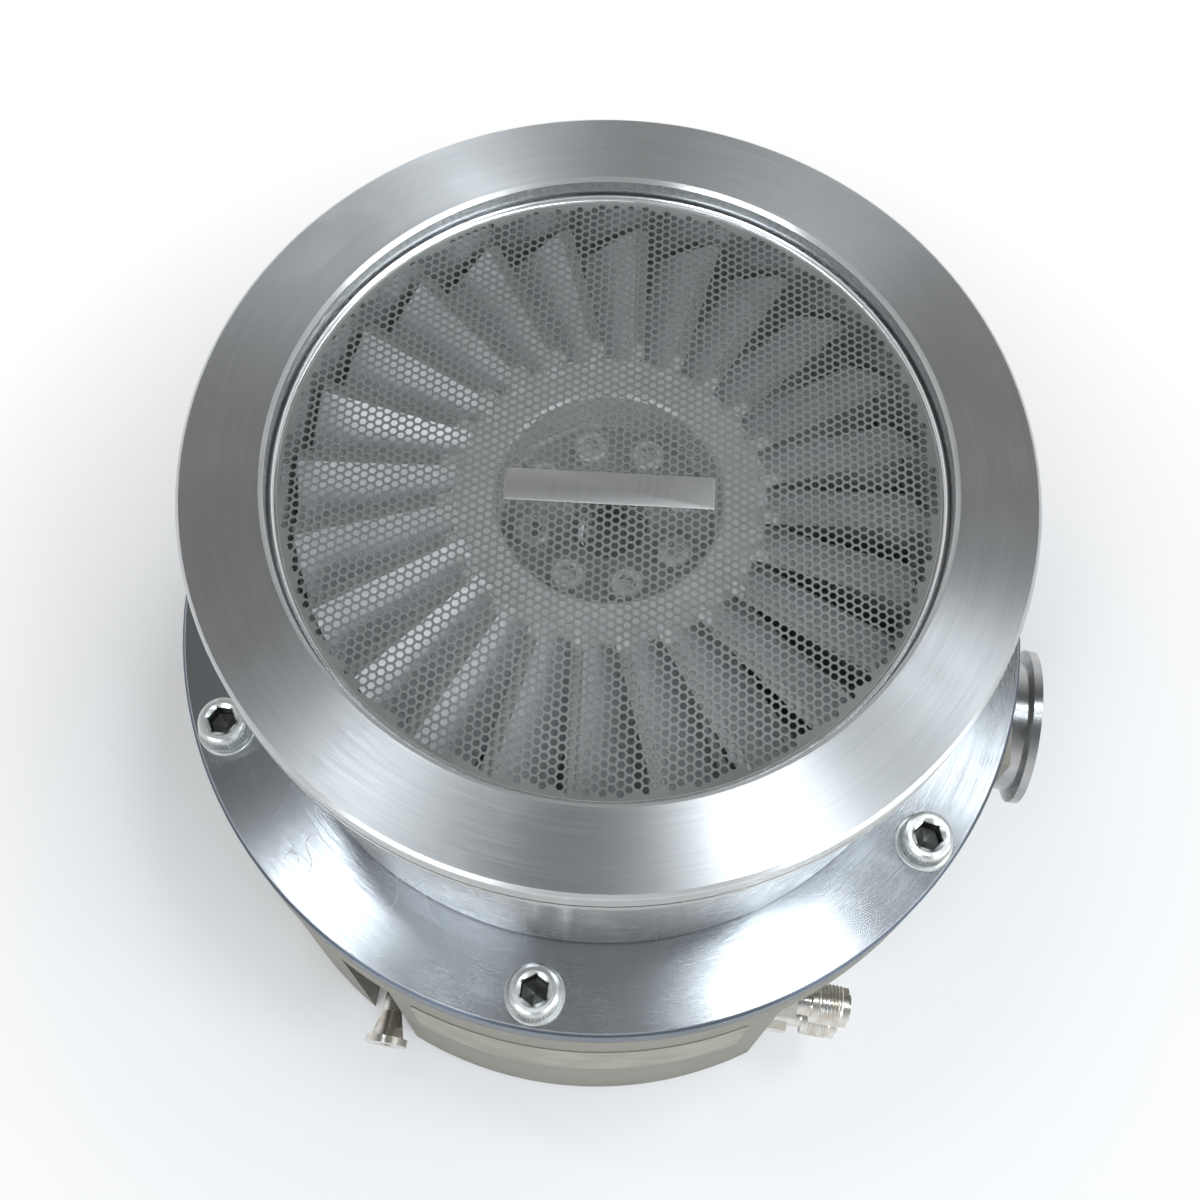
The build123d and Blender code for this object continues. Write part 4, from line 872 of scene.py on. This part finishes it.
def knurled_screw(form, seat):
    """Head with a knurled rim, a chamfer, a hexagonal well with a coned bottom, and a shank."""
    count = KNURL_TEETH * 2
    hexagon_r = KEY_AF / sqrt(3)
    top = HEAD_H

    def loop(shape, z):
        """A loop whose points a shape gives from the angle and the corner's number."""
        return [form.verts.new(seat @ Vector((*shape(2 * pi * k / count, k), z))) for k in range(count)]

    def round_of(radius):
        return lambda angle, k: (radius * cos(angle), radius * sin(angle))

    def toothed(angle, k):
        radius = HEAD_R - KNURL_DEPTH * (k % 2)
        return radius * cos(angle), radius * sin(angle)

    def hexed(scale=1.0):
        def point(angle, k):
            radius = scale * (KEY_AF / 2) / cos((angle % (pi / 3)) - pi / 6)
            return radius * cos(angle), radius * sin(angle)
        return point

    loops = [
        loop(round_of(SHANK_R), -6.0), loop(round_of(SHANK_R), WASHER_T - 0.02),
        loop(round_of(HEAD_R - 0.7), WASHER_T), loop(round_of(HEAD_R - 0.3), WASHER_T + 0.4),
        loop(toothed, WASHER_T + 0.7), loop(toothed, top - 2.3), loop(round_of(HEAD_R - 0.3), top - 2.0),
        loop(round_of(HEAD_R - 0.28), top - 1.3), loop(round_of(HEAD_R - 0.75), top - 0.45),
        loop(round_of(HEAD_R - 1.5), top), loop(round_of(hexagon_r + 0.75), top),
        loop(round_of(hexagon_r + 0.1), top - 0.55), loop(hexed(), top - 0.9), loop(hexed(), top - 6.0),
        loop(hexed(0.93), top - 6.3), loop(round_of(0.4), top - 7.4)]
    for one, two in zip(loops, loops[1:]):
        join(form, one, two)
    form.faces.new(loops[0])
    form.faces.new(loops[-1])


form = bmesh.new()
for place in screw_places:
    knurled_screw(form, place)
screws = add_piece("casing_screw_set", form, FINISH["screw"], sharp=24)
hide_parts("casing_screws")

# %% [markdown]
# A washer spreads the head's pressure over the soft aluminium. It is an outline with small chamfers,
# spun round each screw, and stops just short of the head so that no two faces lie in one place.

# %% Washers under the heads
WASHER_IN, WASHER_OUT = 5.3, 9.1
washer_top = WASHER_T - 0.02
washer = [(WASHER_IN, 0.0), (WASHER_OUT - 0.3, 0.0), (WASHER_OUT, 0.3), (WASHER_OUT, washer_top - 0.38),
          (WASHER_OUT - 0.35, washer_top), (WASHER_IN + 0.4, washer_top), (WASHER_IN, washer_top - 0.28)]
form = bmesh.new()
for place in screw_places:
    spin(form, washer, place, steps=72)
washers = add_piece("casing_washers", form, FINISH["screw"])

# %% [markdown]
# ## Ports and fittings
#
# Round nickel-plated fittings are screwed into the base. The CAD has their bodies. What catches the
# light on the real ones is the thread. The Screw modifier could wind one, but its ends would stop in
# a square cut. Here a ridge with sloping sides climbs as it goes round, and runs out at both ends.


# %% Screw threads
def thread(form, radius, length, pitch, seat, depth, steps=28):
    """A helical ridge from height 0 to length round the seat's Z axis."""
    turns = max(1.0, length / pitch - 1)
    count = int(turns * steps)
    rows = []
    for k in range(count + 1):
        angle = 2 * pi * k / steps
        climb = pitch * k / steps
        tall = depth * min(1.0, k / steps, (count - k) / steps)
        rows.append([form.verts.new(seat @ Vector((r * cos(angle), r * sin(angle), climb + offset)))
                     for r, offset in ((radius - 0.15, 0.0), (radius + tall, pitch * 0.42),
                                       (radius + tall, pitch * 0.58), (radius - 0.15, pitch))])
    for one, two in zip(rows, rows[1:]):
        for k in range(4):
            after = (k + 1) % 4
            form.faces.new((one[k], two[k], two[after], one[after]))
    form.faces.new(rows[0])
    form.faces.new(list(reversed(rows[-1])))


THREAD_BACK = 12.0  # a thread starts this far back from the end of its fitting
form = bmesh.new()
for node in ("water_inlet_fitting", "water_outlet_fitting"):
    low, high = box_mm(node)
    centre = (low + high) / 2
    seat = (Matrix.Translation((high.x - THREAD_BACK, centre.y, centre.z))
            @ Matrix.Rotation(radians(90), 4, "Y"))
    stem_r = (high.y - low.y) / 2 - 0.5
    thread(form, stem_r, length=10.0, pitch=1.25, seat=seat, depth=0.4)
water_threads = add_piece("water_threads", form, FINISH["nickel"])

# %% [markdown]
# The socket's shell has a coarser thread, for the coupling nut of the controller's cable. The same
# helper winds it, turned so that it climbs towards the rear of the pump.

# %% Coupling thread of the socket
COUPLING_R = 21.0
form = bmesh.new()
seat = (Matrix.Translation((socket_x, socket_high.y - THREAD_BACK, socket_z))
        @ Matrix.Rotation(radians(-90), 4, "X"))
thread(form, COUPLING_R, length=10.5, pitch=2.0, seat=seat, depth=0.7, steps=64)
socket_thread = add_piece("socket_thread", form, FINISH["socket"])

# %% [markdown]
# ## The plate on the base
#
# A long printed plate is glued round the front of the base. It is left bare here. A flat plate could
# be bent with the Simple Deform modifier. This one is worked out slice by slice along the curve of
# the base instead, so its corners can be rounded on the way.


# %% A curved plate
def curved_plate(form, radius, middle, width, low, high, thickness, corner=3.0, steps=72):
    """A sheet bent round the pump's axis, from low to high, width millimetres along the curve."""
    def point(across, z, out):
        """A corner that lies out from the curve, across millimetres from the plate's middle."""
        angle = middle + across / radius
        return form.verts.new(((radius + out) * cos(angle), (radius + out) * sin(angle), z))

    def span(across):
        """How far the plate reaches up and down at this place, which makes its corners round."""
        over = abs(across) - (width / 2 - corner)
        cut = corner - sqrt(max(0.0, corner**2 - over**2)) if over > 0 else 0.0
        return low + cut, high - cut

    rows = []
    for k in range(steps + 1):
        across = -width / 2 * cos(pi * k / steps)
        bottom, top = span(across)
        rows.append([point(across, z, out) for z, out in (
            (bottom, -0.3), (bottom, thickness), (top, thickness), (top, -0.3))])
    for one, two in zip(rows, rows[1:]):
        for k in range(4):
            after = (k + 1) % 4
            form.faces.new((one[k], two[k], two[after], one[after]))
    form.faces.new(rows[0])
    form.faces.new(list(reversed(rows[-1])))


def plate_paint():
    """Olive-grey print lacquer, a little faded and scuffed."""
    material, place = begin("plate_lacquer", Specular_IOR_Level=0.5, Coat_Roughness=0.3)
    age = fade(mottle(place, 17.0, 4.0), 0.35, 0.75)
    rub = fade(mottle(place, 1.6, 3.0), 0.62, 0.72)
    colour = tint(age, rgb(0.25, 0.235, 0.18), rgb(0.20, 0.185, 0.14))
    colour = tint(rub * 0.5, colour, rgb(0.15, 0.14, 0.11))
    return feed(material, Base_Color=colour, Roughness=0.38 + age * 0.14 + rub * 0.1,
                Normal=relief(mottle(place, 0.8, 2.0), 0.00001, 0.5))


PAD_STEP = 0.5  # the pad lies this far inside the casing's flange
form = bmesh.new()
curved_plate(form, joint_radius - PAD_STEP, middle=radians(-84), width=112.0, low=62.0, high=106.0,
             thickness=0.35)
front_plate = add_piece("front_plate", form, plate_paint())

# %% [markdown]
# ## Floor, light and background
#
# A pale floor takes the pump's soft shadow. A plain white floor would turn grey away from the lamps,
# so this one mixes its paint with a white glow. The mix is mostly paint near the pump, where the
# shadow has to show, and all glow further off. The Light Path node limits the glow to what the
# camera sees, straight or mirrored in metal, so the glow lights nothing.


# %% The floor
def floor_paint():
    """Pale paint near the pump that fades to a white glow, which only the camera and mirrors see."""
    paint = rgb(0.93, 0.93, 0.94)
    material, place = begin("pale_floor", Base_Color=paint, Roughness=0.9, Specular_IOR_Level=0.1)
    tree = material.node_tree
    path = place.node("ShaderNodeLightPath", out="Is Camera Ray")
    rays = path + path["Is Glossy Ray"] + path["Is Transmission Ray"]
    seen = rays.sum("MINIMUM", rays, 1.0)
    lift = place.node("ShaderNodeEmission", {}, {"Color": rgb(1, 1, 1), "Strength": 1.0}, out="Emission")
    far = fade(round_the_axis(place)[0], 180.0, 320.0)
    mixed = place.node("ShaderNodeMixShader", {}, {0: seen * (0.10 + far * 0.90)})
    tree.links.new(tree.nodes["Principled BSDF"].outputs["BSDF"], mixed.socket.node.inputs[1])
    tree.links.new(lift.socket, mixed.socket.node.inputs[2])
    tree.links.new(mixed.socket, tree.nodes["Material Output"].inputs["Surface"])
    return material


bpy.ops.mesh.primitive_circle_add(vertices=96, radius=9.0, fill_type="NGON", location=(0, 0, -0.0005))
floor = bpy.context.object
floor.name = "floor"
floor.data.materials.append(floor_paint())
print("floor laid")

# %% [markdown]
# On turned metal a lamp shows as one pair of bright wedges, so few lamps make few wedges. Three small
# ones hang high over the pump and draw the wedges on its flanges. Two large soft ones, in front at
# the left and at the side like a window, light what stands upright. One big lamp overhead would be
# quicker to set up, but it would smear the wedges into each other.

# %% The lamps
LAMP_COLOUR = (0.90, 0.96, 1.0)
AIM = Vector((0, 0, inlet_z / 1000))


def lamp(name, place, size, watts):
    """A rectangular lamp that hangs at place, in metres, and points at the inlet."""
    data = bpy.data.lights.new(name, "AREA")
    data.shape = "RECTANGLE"
    data.size, data.size_y = size
    data.energy = watts
    data.color = LAMP_COLOUR
    thing = bpy.data.objects.new(name, data)
    thing.location = place
    thing.rotation_euler = (AIM - Vector(place)).to_track_quat("-Z", "Y").to_euler()
    bpy.context.scene.collection.objects.link(thing)


lamp("lamp_overhead", (0.285, 0.04, 1.65), size=(0.24, 0.16), watts=3.3)
lamp("lamp_right", (0.54, 0.36, 1.50), size=(0.20, 0.14), watts=1.0)
lamp("lamp_left", (-0.37, 0.09, 1.60), size=(0.08, 0.16), watts=1.1)
lamp("lamp_front", (-0.80, -1.65, 1.47), size=(1.0, 0.9), watts=18)
lamp("lamp_window", (1.70, -0.84, 1.34), size=(1.5, 1.1), watts=27)
print("lamps:", len(bpy.data.lights))

# %% [markdown]
# The world fills the rest. Metal looks like metal only when it has something to reflect, and a plain
# white world gives it nothing. So this one is pale at the horizon and dark overhead, as a bright room
# with a dim ceiling is. Its brightness is worked out from how steeply a ray looks up.

# %% The world
world = bpy.data.worlds.new("studio")
bpy.context.scene.world = world
world.use_nodes = True
sky = Wire(world.node_tree)
direction = sky.node("ShaderNodeTexCoord", out="Generated")
height = direction.node("ShaderNodeSeparateXYZ", {}, {"Vector": direction})["Z"]
shade = fade(height, 0.25, 0.82, 0.88, 0.12)
background = world.node_tree.nodes["Background"]
background.inputs["Color"].default_value = (1, 1, 1, 1)
world.node_tree.links.new(shade.socket, background.inputs["Strength"])
bpy.context.scene.view_settings.view_transform = "Standard"
print("world ready")
